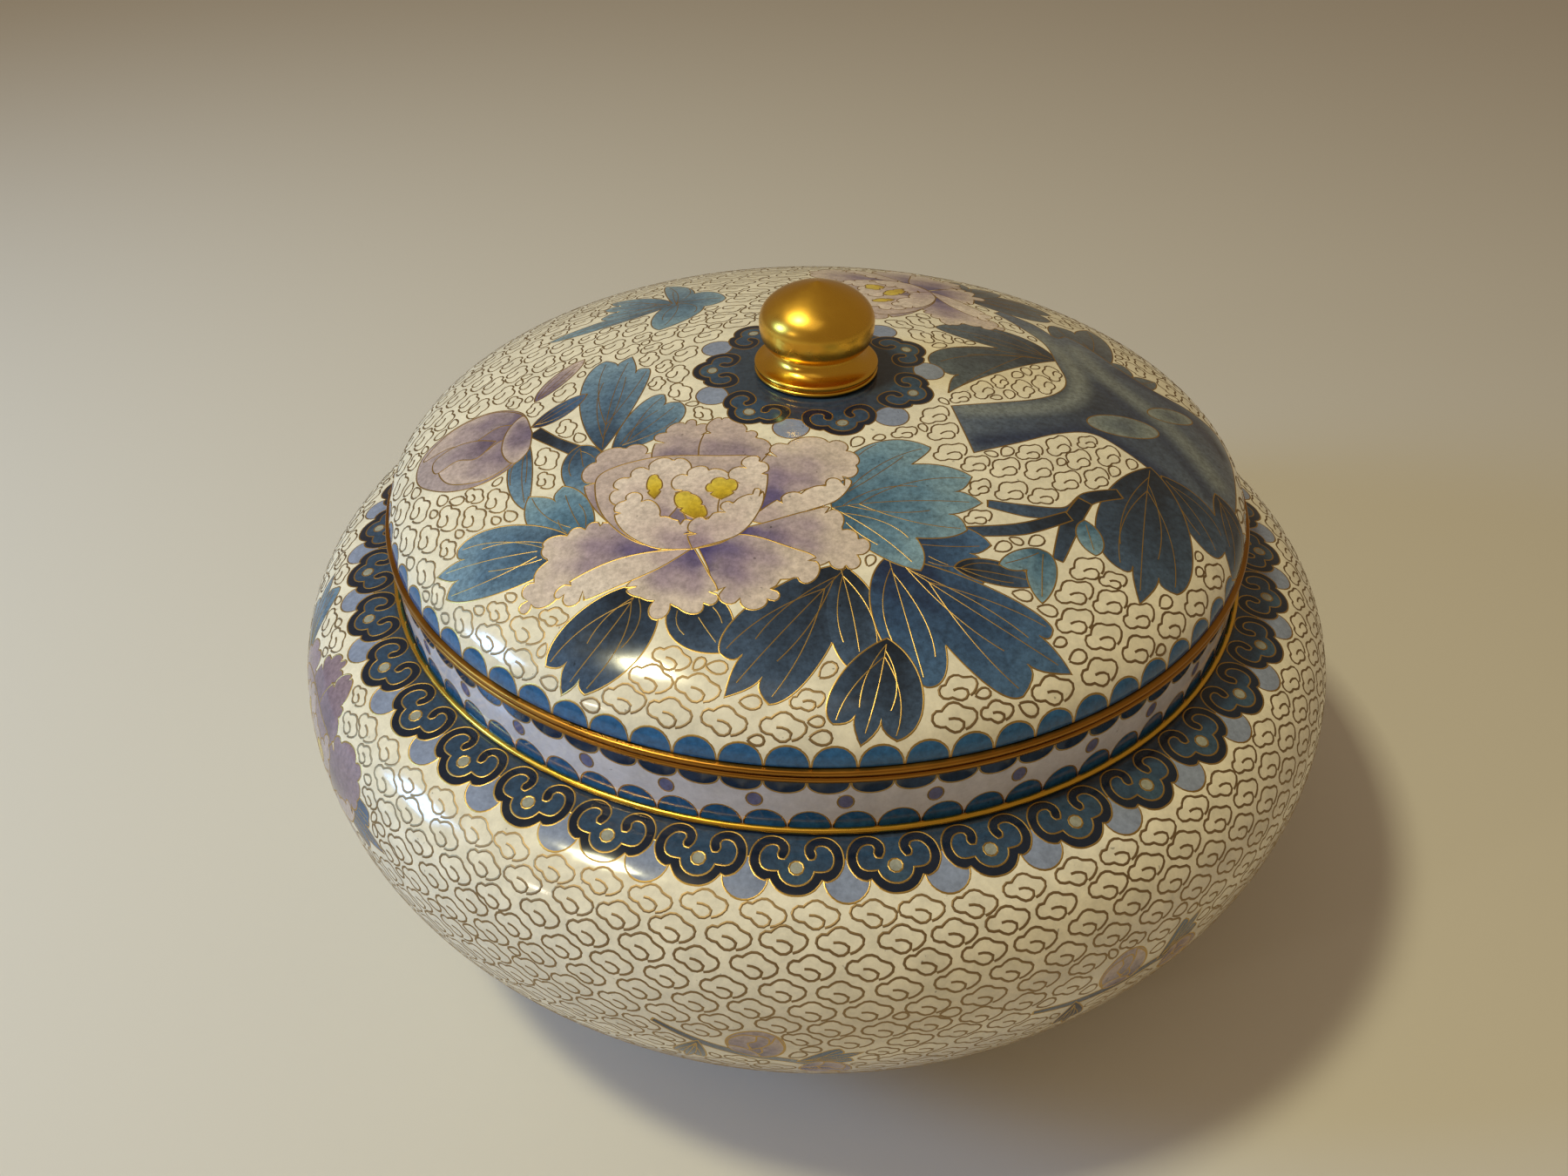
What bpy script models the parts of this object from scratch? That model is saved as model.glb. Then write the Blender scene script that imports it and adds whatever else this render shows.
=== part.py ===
"""Lidded enamel jar: a squat enamelled copper bowl and domed lid, with brass edges, foot and knob.

Lengths are in metres and +Z is up. The origin is on the table, under the middle of the foot.
Every piece is turned round the same upright axis.
"""

import math

import bpy

# Body: outside sizes of the enamelled bowl, heights above the table
BELLY_RADIUS = 0.1200
BELLY_HEIGHT = 0.0639
SHOULDER_HEIGHT = 0.0881
NECK_RADIUS = 0.0954
NECK_HEIGHT = 0.01215
BODY_WALL = 0.0025

# Foot: the brass ring under the bowl
FOOT_RADIUS = 0.0660
FOOT_HEIGHT = 0.0045
FOOT_WALL = 0.0035
FOOT_FLARE = 0.0018
FOOT_TREAD_EDGE = 0.0008

# Brass edges of the neck and of the lid
BAND_HEIGHT = 0.0012
BAND_BULGE = 0.0005
BAND_LEDGE = 0.0005
NECK_WIRE_RADIUS = 0.0006

# Lid: the dome and the lip that keeps it in the neck
LID_SETBACK = 0.0005
LID_RISE = 0.0237
LID_WALL = 0.0025
LIP_DEPTH = 0.0060
LIP_WALL = 0.0012
LIP_CLEARANCE = 0.0005

# Knob: bead, groove, flange, bell, neck and flattened ball
KNOB_FOOT_RADIUS = 0.0134
KNOB_BEAD_HEIGHT = 0.0009
KNOB_GROOVE_HEIGHT = 0.0004
KNOB_GROOVE_DEPTH = 0.0006
KNOB_FLANGE_HEIGHT = 0.0010
KNOB_BELL_HEIGHT = 0.0030
KNOB_NECK_RADIUS = 0.0092
KNOB_BALL_RADIUS = 0.0123
KNOB_BALL_DROP = 0.0059
KNOB_BALL_RISE = 0.0088
KNOB_SEAT_MARGIN = 0.0003

# Space left between pieces that touch
GAP = 0.0003

# Facets round the axis, and creases sharper than this stay crisp
STEPS = 56
KNOB_STEPS = 32
SHARP_ANGLE = math.radians(35.0)
MERGE_DISTANCE = 0.00004

# Fullness of the free curves, as shares of the span that each handle runs along
SHOULDER_REACH = 0.79
SHOULDER_DROP = 0.54
BELLY_FALL = 0.35
UNDERSIDE_REACH = 0.70
UNDERSIDE_RISE = 0.135
DOME_REACH = 0.22
DOME_DROP = 0.665
BELL_REACH = 0.60

# Places that follow from the sizes above
NECK_TOP = SHOULDER_HEIGHT + NECK_HEIGHT
NECK_INNER_RADIUS = NECK_RADIUS - BODY_WALL
BAND_INNER_RADIUS = NECK_INNER_RADIUS - BAND_LEDGE
BODY_RIM_BOTTOM = NECK_TOP + GAP
BODY_RIM_TOP = BODY_RIM_BOTTOM + BAND_HEIGHT
LID_RIM_BOTTOM = BODY_RIM_TOP + GAP
LID_RIM_TOP = LID_RIM_BOTTOM + BAND_HEIGHT
LID_EDGE = LID_RIM_TOP + GAP
LID_RADIUS = NECK_RADIUS - LID_SETBACK
LID_TOP = LID_EDGE + LID_RISE
LIP_RADIUS = BAND_INNER_RADIUS - LIP_CLEARANCE
KNOB_BOTTOM = LID_TOP + GAP

COPPER_ENAMEL = (0.86, 0.78, 0.55, 1.0)
POLISHED_BRASS = (0.80, 0.53, 0.12, 1.0)


def clear_scene():
    """Remove every object, so that the script starts from nothing."""
    for item in list(bpy.data.objects):
        bpy.data.objects.remove(item, do_unlink=True)


def new_collection(name):
    """Return a new collection linked to the scene."""
    collection = bpy.data.collections.new(name)
    bpy.context.scene.collection.children.link(collection)
    return collection


def finish(name, color, roughness, metallic):
    """Return a Principled material with the piece's own colour and gloss."""
    material = bpy.data.materials.new(name)
    material.use_nodes = True
    shader = material.node_tree.nodes["Principled BSDF"]
    shader.inputs["Base Color"].default_value = color
    shader.inputs["Roughness"].default_value = roughness
    shader.inputs["Metallic"].default_value = metallic
    material.diffuse_color = color
    return material


def enamel(piece_name):
    """Glossy vitreous enamel on copper."""
    return finish(piece_name + "_enamel", COPPER_ENAMEL, 0.15, 0.0)


def brass(piece_name):
    """Polished brass."""
    return finish(piece_name + "_brass", POLISHED_BRASS, 0.22, 1.0)


def curve(start, first_handle, second_handle, end, segments):
    """Return segments + 1 points along a cubic curve in the radius and height plane."""
    points = []
    for index in range(segments + 1):
        t = index / segments
        s = 1.0 - t
        weights = (s * s * s, 3.0 * s * s * t, 3.0 * s * t * t, t * t * t)
        corners = (start, first_handle, second_handle, end)
        radius = sum(w * c[0] for w, c in zip(weights, corners))
        height = sum(w * c[1] for w, c in zip(weights, corners))
        points.append((radius, height))
    return points


def inset(points, wall):
    """Return the points moved inwards by the wall, square to a line that runs down an outer side."""
    moved = []
    last = len(points) - 1
    for index, (radius, height) in enumerate(points):
        before = points[max(index - 1, 0)]
        after = points[min(index + 1, last)]
        along_radius = after[0] - before[0]
        along_height = after[1] - before[1]
        length = math.hypot(along_radius, along_height)
        moved.append((radius + wall * along_height / length, height - wall * along_radius / length))
    return moved


def turned(name, outline, closed, steps, material, collection):
    """Turn an outline of (radius, height) points round the axis and return the solid.

    The outline runs down its outer side. A closed outline is the section of a ring.
    """
    mesh = bpy.data.meshes.new(name)
    edges = [(index, index + 1) for index in range(len(outline) - 1)]
    if closed:
        edges.append((len(outline) - 1, 0))
    mesh.from_pydata([(radius, 0.0, height) for radius, height in outline], edges, [])
    piece = bpy.data.objects.new(name, mesh)
    collection.objects.link(piece)
    screw = piece.modifiers.new("Turn", "SCREW")
    screw.axis = "Z"
    screw.angle = math.tau
    screw.screw_offset = 0.0
    screw.steps = steps
    screw.render_steps = steps
    screw.use_merge_vertices = True
    screw.merge_threshold = MERGE_DISTANCE
    bpy.context.view_layer.objects.active = piece
    bpy.ops.object.modifier_apply(modifier=screw.name)
    piece.data.shade_smooth()
    piece.data.set_sharp_from_angle(angle=SHARP_ANGLE)
    piece.data.materials.append(material)
    return piece


def shoulder_curve(segments):
    """Outside of the shoulder, from the foot of the neck out to the widest line."""
    reach = SHOULDER_REACH * (BELLY_RADIUS - NECK_RADIUS)
    drop = SHOULDER_DROP * (SHOULDER_HEIGHT - BELLY_HEIGHT)
    return curve(
        (NECK_RADIUS, SHOULDER_HEIGHT),
        (NECK_RADIUS + reach, SHOULDER_HEIGHT),
        (BELLY_RADIUS, BELLY_HEIGHT + drop),
        (BELLY_RADIUS, BELLY_HEIGHT),
        segments,
    )


def underside_curve(segments):
    """Outside of the bowl from the widest line down to the foot."""
    fall = BELLY_HEIGHT - FOOT_HEIGHT
    reach = BELLY_RADIUS - FOOT_RADIUS
    return curve(
        (BELLY_RADIUS, BELLY_HEIGHT),
        (BELLY_RADIUS, BELLY_HEIGHT - BELLY_FALL * fall),
        (FOOT_RADIUS + UNDERSIDE_REACH * reach, FOOT_HEIGHT + UNDERSIDE_RISE * fall),
        (FOOT_RADIUS, FOOT_HEIGHT),
        segments,
    )


def dome_curve(segments):
    """Outside of the lid from the flat under the knob down to the edge."""
    seat_radius = KNOB_FOOT_RADIUS + KNOB_SEAT_MARGIN
    reach = DOME_REACH * (LID_RADIUS - seat_radius)
    return curve(
        (seat_radius, LID_TOP),
        (seat_radius + reach, LID_TOP),
        (LID_RADIUS, LID_EDGE + DOME_DROP * LID_RISE),
        (LID_RADIUS, LID_EDGE),
        segments,
    )


def jar_body(collection):
    """The hollow bowl, with its neck, one wall thick all round and on the floor."""
    shoulder = shoulder_curve(8)
    underside = underside_curve(10)
    inner_underside = inset(underside_curve(6), BODY_WALL)[:-1]
    inner_shoulder = inset(shoulder_curve(4), BODY_WALL)[:-1]
    floor = FOOT_HEIGHT + BODY_WALL
    outline = [(0.0, floor), (FOOT_RADIUS, floor)]
    outline += reversed(inner_underside)
    outline += reversed(inner_shoulder)
    outline += [(NECK_INNER_RADIUS, SHOULDER_HEIGHT - BODY_WALL), (NECK_INNER_RADIUS, NECK_TOP)]
    outline += [(NECK_RADIUS, NECK_TOP)]
    outline += shoulder + underside[1:]
    outline += [(0.0, FOOT_HEIGHT)]
    return turned("jar_body", outline, False, STEPS, enamel("jar_body"), collection)


def neck_ring(collection):
    """Brass wire lying in the corner between the neck and the shoulder."""
    centre_radius = NECK_RADIUS + GAP + NECK_WIRE_RADIUS
    centre_height = SHOULDER_HEIGHT + GAP + NECK_WIRE_RADIUS
    outline = []
    for index in range(6):
        turn = math.radians(90.0 - 60.0 * index)
        radius = centre_radius + NECK_WIRE_RADIUS * math.cos(turn)
        height = centre_height + NECK_WIRE_RADIUS * math.sin(turn)
        outline.append((radius, height))
    return turned("neck_ring", outline, True, STEPS, brass("neck_ring"), collection)


def band_side(bottom):
    """Rounded outer side of a brass band, from its top edge down to its bottom edge."""
    crown = NECK_RADIUS + BAND_BULGE
    return [
        (NECK_RADIUS, bottom + BAND_HEIGHT),
        (crown, bottom + 0.7 * BAND_HEIGHT),
        (crown, bottom + 0.3 * BAND_HEIGHT),
        (NECK_RADIUS, bottom),
    ]


def body_rim(collection):
    """Brass band on the top edge of the neck."""
    outline = band_side(BODY_RIM_BOTTOM)
    outline += [(BAND_INNER_RADIUS, BODY_RIM_BOTTOM), (BAND_INNER_RADIUS, BODY_RIM_TOP)]
    return turned("body_rim", outline, True, STEPS, brass("body_rim"), collection)


def lid_rim(collection):
    """Brass band under the lid's edge, with the lip that drops inside the neck."""
    lip_inner_radius = LIP_RADIUS - LIP_WALL
    lip_bottom = LID_RIM_BOTTOM - LIP_DEPTH
    outline = band_side(LID_RIM_BOTTOM)
    outline += [(LIP_RADIUS, LID_RIM_BOTTOM), (LIP_RADIUS, lip_bottom)]
    outline += [(lip_inner_radius, lip_bottom), (lip_inner_radius, LID_RIM_TOP)]
    return turned("lid_rim", outline, True, STEPS, brass("lid_rim"), collection)


def foot_ring(collection):
    """Brass ring that the bowl stands on, flared towards the table."""
    top = FOOT_HEIGHT - GAP
    tread_radius = FOOT_RADIUS + FOOT_FLARE
    waist = FOOT_TREAD_EDGE + 0.4 * (top - FOOT_TREAD_EDGE)
    outline = [
        (FOOT_RADIUS, top),
        (FOOT_RADIUS + 0.3 * FOOT_FLARE, waist),
        (tread_radius, FOOT_TREAD_EDGE),
        (tread_radius, 0.0),
        (FOOT_RADIUS - FOOT_WALL, 0.0),
        (FOOT_RADIUS - FOOT_WALL, top),
    ]
    return turned("foot_ring", outline, True, STEPS, brass("foot_ring"), collection)


def lid(collection):
    """The hollow dome, with a flat for the knob in the middle."""
    dome = dome_curve(9)
    inner_dome = inset(dome_curve(6), LID_WALL)
    inner_edge = (LID_RADIUS - LID_WALL, LID_EDGE)
    outline = [(0.0, LID_TOP)] + dome + [inner_edge]
    outline += reversed(inner_dome[:-1])
    outline += [(0.0, LID_TOP - LID_WALL)]
    return turned("lid", outline, False, STEPS, enamel("lid"), collection)


def knob(collection):
    """The turned finial: bead, groove, flange, bell, neck and flattened ball with a soft point."""
    groove_radius = KNOB_FOOT_RADIUS - KNOB_GROOVE_DEPTH
    bead_top = KNOB_BOTTOM + KNOB_BEAD_HEIGHT
    groove_top = bead_top + KNOB_GROOVE_HEIGHT
    flange_top = groove_top + KNOB_FLANGE_HEIGHT
    neck_height = flange_top + KNOB_BELL_HEIGHT
    ball_middle = neck_height + KNOB_BALL_DROP
    ball_top = ball_middle + KNOB_BALL_RISE
    upper = curve(
        (0.0, ball_top),
        (0.50 * KNOB_BALL_RADIUS, ball_top - 0.14 * KNOB_BALL_RISE),
        (KNOB_BALL_RADIUS, ball_middle + 0.56 * KNOB_BALL_RISE),
        (KNOB_BALL_RADIUS, ball_middle),
        6,
    )
    underside = KNOB_BALL_RADIUS - KNOB_NECK_RADIUS
    lower = curve(
        (KNOB_BALL_RADIUS, ball_middle),
        (KNOB_BALL_RADIUS, ball_middle - 0.60 * KNOB_BALL_DROP),
        (KNOB_NECK_RADIUS + 0.65 * underside, neck_height + 0.10 * KNOB_BALL_DROP),
        (KNOB_NECK_RADIUS, neck_height),
        4,
    )
    spread = groove_radius - KNOB_NECK_RADIUS
    bell = curve(
        (KNOB_NECK_RADIUS, neck_height),
        (KNOB_NECK_RADIUS, neck_height - BELL_REACH * KNOB_BELL_HEIGHT),
        (groove_radius - 0.5 * spread, flange_top),
        (groove_radius, flange_top),
        4,
    )
    outline = upper + lower[1:] + bell[1:]
    outline += [(KNOB_FOOT_RADIUS, flange_top - 0.3 * KNOB_FLANGE_HEIGHT), (KNOB_FOOT_RADIUS, groove_top)]
    outline += [(groove_radius, groove_top), (groove_radius, bead_top)]
    outline += [(KNOB_FOOT_RADIUS, bead_top - 0.3 * KNOB_BEAD_HEIGHT)]
    outline += [(KNOB_FOOT_RADIUS, KNOB_BOTTOM), (0.0, KNOB_BOTTOM)]
    return turned("knob", outline, False, KNOB_STEPS, brass("knob"), collection)


def main():
    """Build the jar from the foot up."""
    clear_scene()
    collection = new_collection("enamel_jar")
    foot_ring(collection)
    jar_body(collection)
    neck_ring(collection)
    body_rim(collection)
    lid_rim(collection)
    lid(collection)
    knob(collection)


main()
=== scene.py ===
"""Enamel jar: a squat cloisonne jar with a domed lid and polished brass edges, foot and knob.

The enamel picture is a flush mosaic: every cell of colour is its own patch of one closed
surface, and every wire between two cells is a fine raised strip of gilt metal.
Pattern lengths are in millimetres, Blender's are in metres, and +Z is up.
"""

import math
import random

import bpy
import numpy as np
from mathutils import Matrix, Vector, kdtree
from mathutils.geometry import delaunay_2d_cdt


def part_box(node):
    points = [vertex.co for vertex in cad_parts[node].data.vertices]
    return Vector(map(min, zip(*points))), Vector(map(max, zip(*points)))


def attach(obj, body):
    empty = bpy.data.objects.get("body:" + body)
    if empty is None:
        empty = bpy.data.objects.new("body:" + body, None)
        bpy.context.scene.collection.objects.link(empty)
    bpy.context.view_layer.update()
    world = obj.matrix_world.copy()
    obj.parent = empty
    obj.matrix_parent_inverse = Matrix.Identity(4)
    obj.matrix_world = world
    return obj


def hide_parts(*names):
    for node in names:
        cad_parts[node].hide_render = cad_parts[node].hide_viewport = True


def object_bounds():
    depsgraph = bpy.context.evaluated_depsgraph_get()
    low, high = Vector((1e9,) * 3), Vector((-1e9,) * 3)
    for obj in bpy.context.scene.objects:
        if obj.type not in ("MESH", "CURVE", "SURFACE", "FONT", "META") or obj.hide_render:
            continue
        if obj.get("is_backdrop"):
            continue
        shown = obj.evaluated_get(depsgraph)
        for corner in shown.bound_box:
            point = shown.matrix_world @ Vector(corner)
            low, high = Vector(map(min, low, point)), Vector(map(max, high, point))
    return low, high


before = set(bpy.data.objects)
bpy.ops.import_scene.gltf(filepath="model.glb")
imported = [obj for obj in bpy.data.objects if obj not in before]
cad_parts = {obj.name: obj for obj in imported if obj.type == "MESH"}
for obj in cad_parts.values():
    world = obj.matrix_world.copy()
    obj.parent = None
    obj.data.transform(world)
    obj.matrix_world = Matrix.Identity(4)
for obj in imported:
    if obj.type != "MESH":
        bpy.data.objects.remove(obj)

bl_info = {
    "name": "Enamel jar",
    "version": (1, 0, 0),
    "blender": (4, 5, 0),
    "location": "3D View > Sidebar > Jar",
    "description": "Builds a lidded cloisonne jar with flush wires and brass edges",
    "category": "Object",
}

CAD_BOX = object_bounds()
MM = 0.001


def top_of(node):
    """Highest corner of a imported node, in millimetres."""
    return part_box(node)[1] / MM


def bottom_of(node):
    """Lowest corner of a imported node, in millimetres."""
    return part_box(node)[0] / MM


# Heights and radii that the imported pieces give, in millimetres
BELLY_RADIUS = top_of("jar_body").x
NECK_TOP = top_of("jar_body").z
BOWL_BOTTOM = bottom_of("jar_body").z
LID_RADIUS = top_of("lid").x
LID_TOP = top_of("lid").z
LID_EDGE = bottom_of("lid").z
BAND_RADIUS = top_of("body_rim").x
KNOB_TOP = top_of("knob").z
KNOB_BOTTOM = bottom_of("knob").z
KNOB_FOOT_RADIUS = top_of("knob").x
FOOT_TREAD_RADIUS = top_of("foot_ring").x
FOOT_TOP = top_of("foot_ring").z

# The other sizes of the turned profiles, in millimetres
NECK_RADIUS = 95.4
SHOULDER = 88.1
BELLY_HEIGHT = 63.9
FOOT_RADIUS = 66.0
FOOT_WALL = 3.5
WALL = 2.5
KNOB_SEAT = 13.7

# Where the pulls of the curves lie, as shares of the width and the height that each curve spans
SHOULDER_REACH, SHOULDER_DROP = 0.79, 0.54
UNDERSIDE_FALL, UNDERSIDE_REACH, UNDERSIDE_RISE = 0.35, 0.70, 0.135
DOME_REACH, DOME_RISE = 0.22, 0.665
# Wire and glaze: the wire stands proud of the glaze by a hair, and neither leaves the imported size
WIRE_PROUD = 0.035
WIRE_SUNK = 0.045
VEIN_WIDTH = 0.24

# Distance between the points of a drawn line, and between the mesh points inside the cells,
# which lie closer where enamels blend, in millimetres
STEP = 0.7
BOWED_STEP = 1.1
MOSAIC_PITCH = 2.6
PETAL_PITCH = 1.4
TRUNK_PITCH = 1.6
LEAF_PITCH = 1.7
LIMB_PITCH = 2.0
SEED = 7


def linear(hex_colour):
    """Turn an sRGB hex colour into linear red, green and blue."""
    parts = [int(hex_colour[at : at + 2], 16) / 255.0 for at in (0, 2, 4)]
    return tuple(p / 12.92 if p <= 0.04045 else ((p + 0.055) / 1.055) ** 2.4 for p in parts)


def length_property(name, length, description):
    """A size setting whose default is a length in millimetres."""
    return bpy.props.FloatProperty(
        name=name, description=description, default=length * MM, unit="LENGTH"
    )


def count_property(name, count, description):
    """A setting for how many like shapes go round the jar."""
    return bpy.props.IntProperty(name=name, description=description, default=count, min=12)


def colour_setting(name, hex_colour, description):
    """A colour setting whose default is an sRGB hex value."""
    return bpy.props.FloatVectorProperty(
        name=name, description=description, subtype="COLOR", size=3, min=0.0, max=1.0,
        default=linear(hex_colour),
    )


class JarSizes(bpy.types.PropertyGroup):
    """Sizes that a maker would change."""

    wire: length_property("Motif wire", 0.38, "Width of the wire round the motifs")
    cloud_wire: length_property("Cloud wire", 0.48, "Width of the wire of the clouds")
    cloud_pitch: length_property("Cloud pitch", 9.8, "Distance between clouds in a row")
    cloud_row: length_property("Cloud rows", 5.36, "Distance between rows of clouds")
    heads: count_property("Ruyi heads", 38, "Heads round the shoulder")
    lid_scallops: count_property("Lid scallops", 75, "Scallops along the edge of the lid")


class JarColours(bpy.types.PropertyGroup):
    """Enamel and metal colours."""

    cream: colour_setting("Cream", "EDE5CE", "Ground between the clouds")
    navy: colour_setting("Navy", "172233", "Bands of the ruyi heads")
    slate: colour_setting("Slate", "30475F", "Inside the ruyi heads")
    lobe: colour_setting("Lobe blue", "8A95AD", "Lobes between the ruyi heads")
    scallop: colour_setting("Scallop blue", "2C6090", "Scallops of the neck and the lid")
    neck: colour_setting("Neck white", "DDDCE4", "Ground of the neck")
    bead: colour_setting("Bead grey", "72749B", "Oval beads on the neck")
    turquoise: colour_setting("Turquoise", "2F8F95", "Plain enamel inside and underneath")
    brass: colour_setting("Gilt brass", "F4C048", "Polished brass of the knob, neck ring and foot")
    band: colour_setting("Brown brass", "BC8436", "Brass bands at the seam of jar and lid")
    # The bands' brown brass is a painted reflection of a dark brown table, not the brass's own
    # colour
    wire: colour_setting("Gilt wire", "CBA760", "Gilt copper wire of the cells")
    # The cloud wire's brown is a painted reflection of a dark room in the copper
    cloud_wire: colour_setting("Cloud wire", "A98F68", "Copper wire of the clouds, the brownest")


# Turned profiles


def bend(start, first, second, end, segments):
    """Points along a cubic curve in the plane of radius and height."""
    t = np.linspace(0.0, 1.0, segments + 1)[:, None]
    s = 1.0 - t
    a, b, c, d = (np.array(corner, float) for corner in (start, first, second, end))
    return s**3 * a + 3 * s * s * t * b + 3 * s * t * t * c + t**3 * d


def shoulder_curve(segments):
    """Outside of the shoulder, from the foot of the neck to the widest line."""
    reach = SHOULDER_REACH * (BELLY_RADIUS - NECK_RADIUS)
    drop = SHOULDER_DROP * (SHOULDER - BELLY_HEIGHT)
    first = (NECK_RADIUS + reach, SHOULDER)
    second = (BELLY_RADIUS, BELLY_HEIGHT + drop)
    return bend((NECK_RADIUS, SHOULDER), first, second, (BELLY_RADIUS, BELLY_HEIGHT), segments)


def underside_curve(segments):
    """Outside of the bowl from the widest line down to the foot."""
    fall = BELLY_HEIGHT - BOWL_BOTTOM
    reach = BELLY_RADIUS - FOOT_RADIUS
    first = (BELLY_RADIUS, BELLY_HEIGHT - UNDERSIDE_FALL * fall)
    second = (FOOT_RADIUS + UNDERSIDE_REACH * reach, BOWL_BOTTOM + UNDERSIDE_RISE * fall)
    return bend((BELLY_RADIUS, BELLY_HEIGHT), first, second, (FOOT_RADIUS, BOWL_BOTTOM), segments)


def dome_curve(segments):
    """Outside of the lid from the flat under the knob down to the edge."""
    first = (KNOB_SEAT + DOME_REACH * (LID_RADIUS - KNOB_SEAT), LID_TOP)
    second = (LID_RADIUS, LID_EDGE + DOME_RISE * (LID_TOP - LID_EDGE))
    return bend((KNOB_SEAT, LID_TOP), first, second, (LID_RADIUS, LID_EDGE), segments)


def headings(line):
    """Unit vectors along a line, one at each of its points."""
    along = np.gradient(line, axis=0)
    return along / np.hypot(*along.T)[:, None]


def run_of(line):
    """Distance run along a line, at each of its points."""
    return np.concatenate(([0.0], np.cumsum(np.hypot(*np.diff(line, axis=0).T))))


def inset(points, wall):
    """The points moved inwards by the wall, square to the line."""
    along = headings(points)
    return points + wall * np.column_stack((along[:, 1], -along[:, 0]))


class Turned:
    """A turned surface and the flat drawing laid on it.

    The arc length s runs down the outer profile. On a disc the drawing is flat polar; on a strip
    it is unrolled at the radius of the wheel, with its middle at the front.
    """

    def __init__(self, profile, start=0.0, wheel=None):
        self.radius, self.height = profile.T
        steps = np.hypot(np.diff(self.radius), np.diff(self.height))
        self.s = start + np.concatenate(([0.0], np.cumsum(steps)))
        slope_r, slope_h = np.diff(self.radius) / steps, np.diff(self.height) / steps
        self.middle = 0.5 * (self.s[1:] + self.s[:-1])
        self.normal_r, self.normal_h = -slope_h, slope_r
        self.wheel = wheel
        self.start, self.end = start, self.s[-1]
        self.half = math.pi * wheel if wheel else None

    def radius_at(self, s):
        return np.interp(s, self.s, self.radius)

    def polar(self, flat):
        """Azimuth and arc length of points of the flat drawing."""
        if self.wheel:
            return flat[..., 0] / self.wheel - math.pi / 2, flat[..., 1]
        return np.arctan2(flat[..., 1], flat[..., 0]), np.hypot(flat[..., 0], flat[..., 1])

    def flatten(self, azimuth, s):
        """Flat points at these azimuths and arc lengths."""
        if self.wheel:
            return np.stack((self.wheel * (azimuth + math.pi / 2), s + 0.0 * azimuth), -1)
        return np.stack((s * np.cos(azimuth), s * np.sin(azimuth)), -1)

    def near(self, azimuth, s, shape):
        """Flat points of a shape drawn in true size round one place: u to the right, v outwards."""
        shape = np.asarray(shape, float)
        along = s + shape[..., 1]
        return self.flatten(azimuth + shape[..., 0] / self.radius_at(along), along)

    def corners(self):
        """Lowest and highest corner of the flat drawing."""
        if self.wheel:
            return np.array((-self.half, self.start)), np.array((self.half, self.end))
        return np.array((-self.end, -self.end)), np.array((self.end, self.end))

    def lay(self, flat, lift=0.0, side=None):
        """Place and outward normal of flat points, in millimetres."""
        azimuth, s = self.polar(flat)
        s = np.clip(s, self.start, self.end)
        look = s if side is None else s + side
        normal_r = np.interp(look, self.middle, self.normal_r)
        normal_h = np.interp(look, self.middle, self.normal_h)
        size = np.hypot(normal_r, normal_h)
        normal_r, normal_h = normal_r / size, normal_h / size
        radius = self.radius_at(s) + lift * normal_r
        height = np.interp(s, self.s, self.height) + lift * normal_h
        cosine, sine = np.cos(azimuth), np.sin(azimuth)
        return (
            np.stack((radius * cosine, radius * sine, height), -1),
            np.stack((normal_r * cosine, normal_r * sine, normal_h), -1),
        )


# Flat shapes


def spline(points, closed=True, sharp=(), step=STEP):
    """A smooth curve through the points, sampled about every step, with corners where told."""
    points = np.array(points, float)
    count = len(points)
    pieces = []
    for index in range(count if closed else count - 1):
        following = (index + 1) % count
        a, b = points[index], points[following]
        breaks_before = index in sharp or (not closed and index == 0)
        breaks_after = following in sharp or (not closed and following == count - 1)
        before = a if breaks_before else points[index - 1]
        after = b if breaks_after else points[(index + 2) % count]
        samples = max(1, math.ceil(np.hypot(*(b - a)) / step))
        t = (np.arange(samples) / samples)[:, None]
        square = 2 * before - 5 * a + 4 * b - after
        cube = 3 * a - before - 3 * b + after
        pieces.append(0.5 * (2 * a + (b - before) * t + square * t**2 + cube * t**3))
    if not closed:
        pieces.append(points[-1:])
    return np.vstack(pieces)


def resample(points, count):
    """The same open line with an even number of points."""
    along = run_of(points)
    even = np.linspace(0.0, along[-1], count)
    return np.column_stack([np.interp(even, along, values) for values in points.T])


def oval(centre, width, height, turn=0.0, step=STEP):
    """An ellipse."""
    count = max(10, int(math.pi * (width + height) / 2 / step))
    angle = np.arange(count) * math.tau / count
    shape = np.column_stack((width / 2 * np.cos(angle), height / 2 * np.sin(angle)))
    return rotated(shape, turn) + np.array(centre, float)


def rotated(points, degrees):
    """Points turned counter-clockwise about the middle."""
    c, s = math.cos(math.radians(degrees)), math.sin(math.radians(degrees))
    return np.asarray(points, float) @ np.array(((c, s), (-s, c)))


def scallop(half_width, height):
    """A rounded tooth standing on v = 0 and rising towards -v, with a root 2 mm deep."""
    angle = np.linspace(0.0, math.pi, max(8, int(2.6 * half_width / STEP)))
    arch = np.column_stack((half_width * np.cos(angle), -height * np.sin(angle) ** 0.85))
    return np.vstack((arch, [(-half_width, 2.0), (half_width, 2.0)]))


def inside(outline, points):
    """Which points lie inside a closed outline."""
    found = np.zeros(len(points), bool)
    low, high = outline.min(0), outline.max(0)
    near = np.flatnonzero(((points >= low) & (points <= high)).all(1))
    if len(near):
        x, y = points[near, 0][:, None], points[near, 1][:, None]
        x1, y1 = outline.T
        x2, y2 = np.roll(outline, -1, 0).T
        rise = np.where(y2 == y1, 1e-9, y2 - y1)
        crossing = ((y1 > y) != (y2 > y)) & (x < (x2 - x1) * (y - y1) / rise + x1)
        found[near] = crossing.sum(1) % 2 == 1
    return found


def distance_to(outline, points):
    """Distance from each point to the nearest point of an outline."""
    gap = points[:, None, :] - outline[None, :, :]
    return np.sqrt((gap**2).sum(2).min(1))


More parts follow.
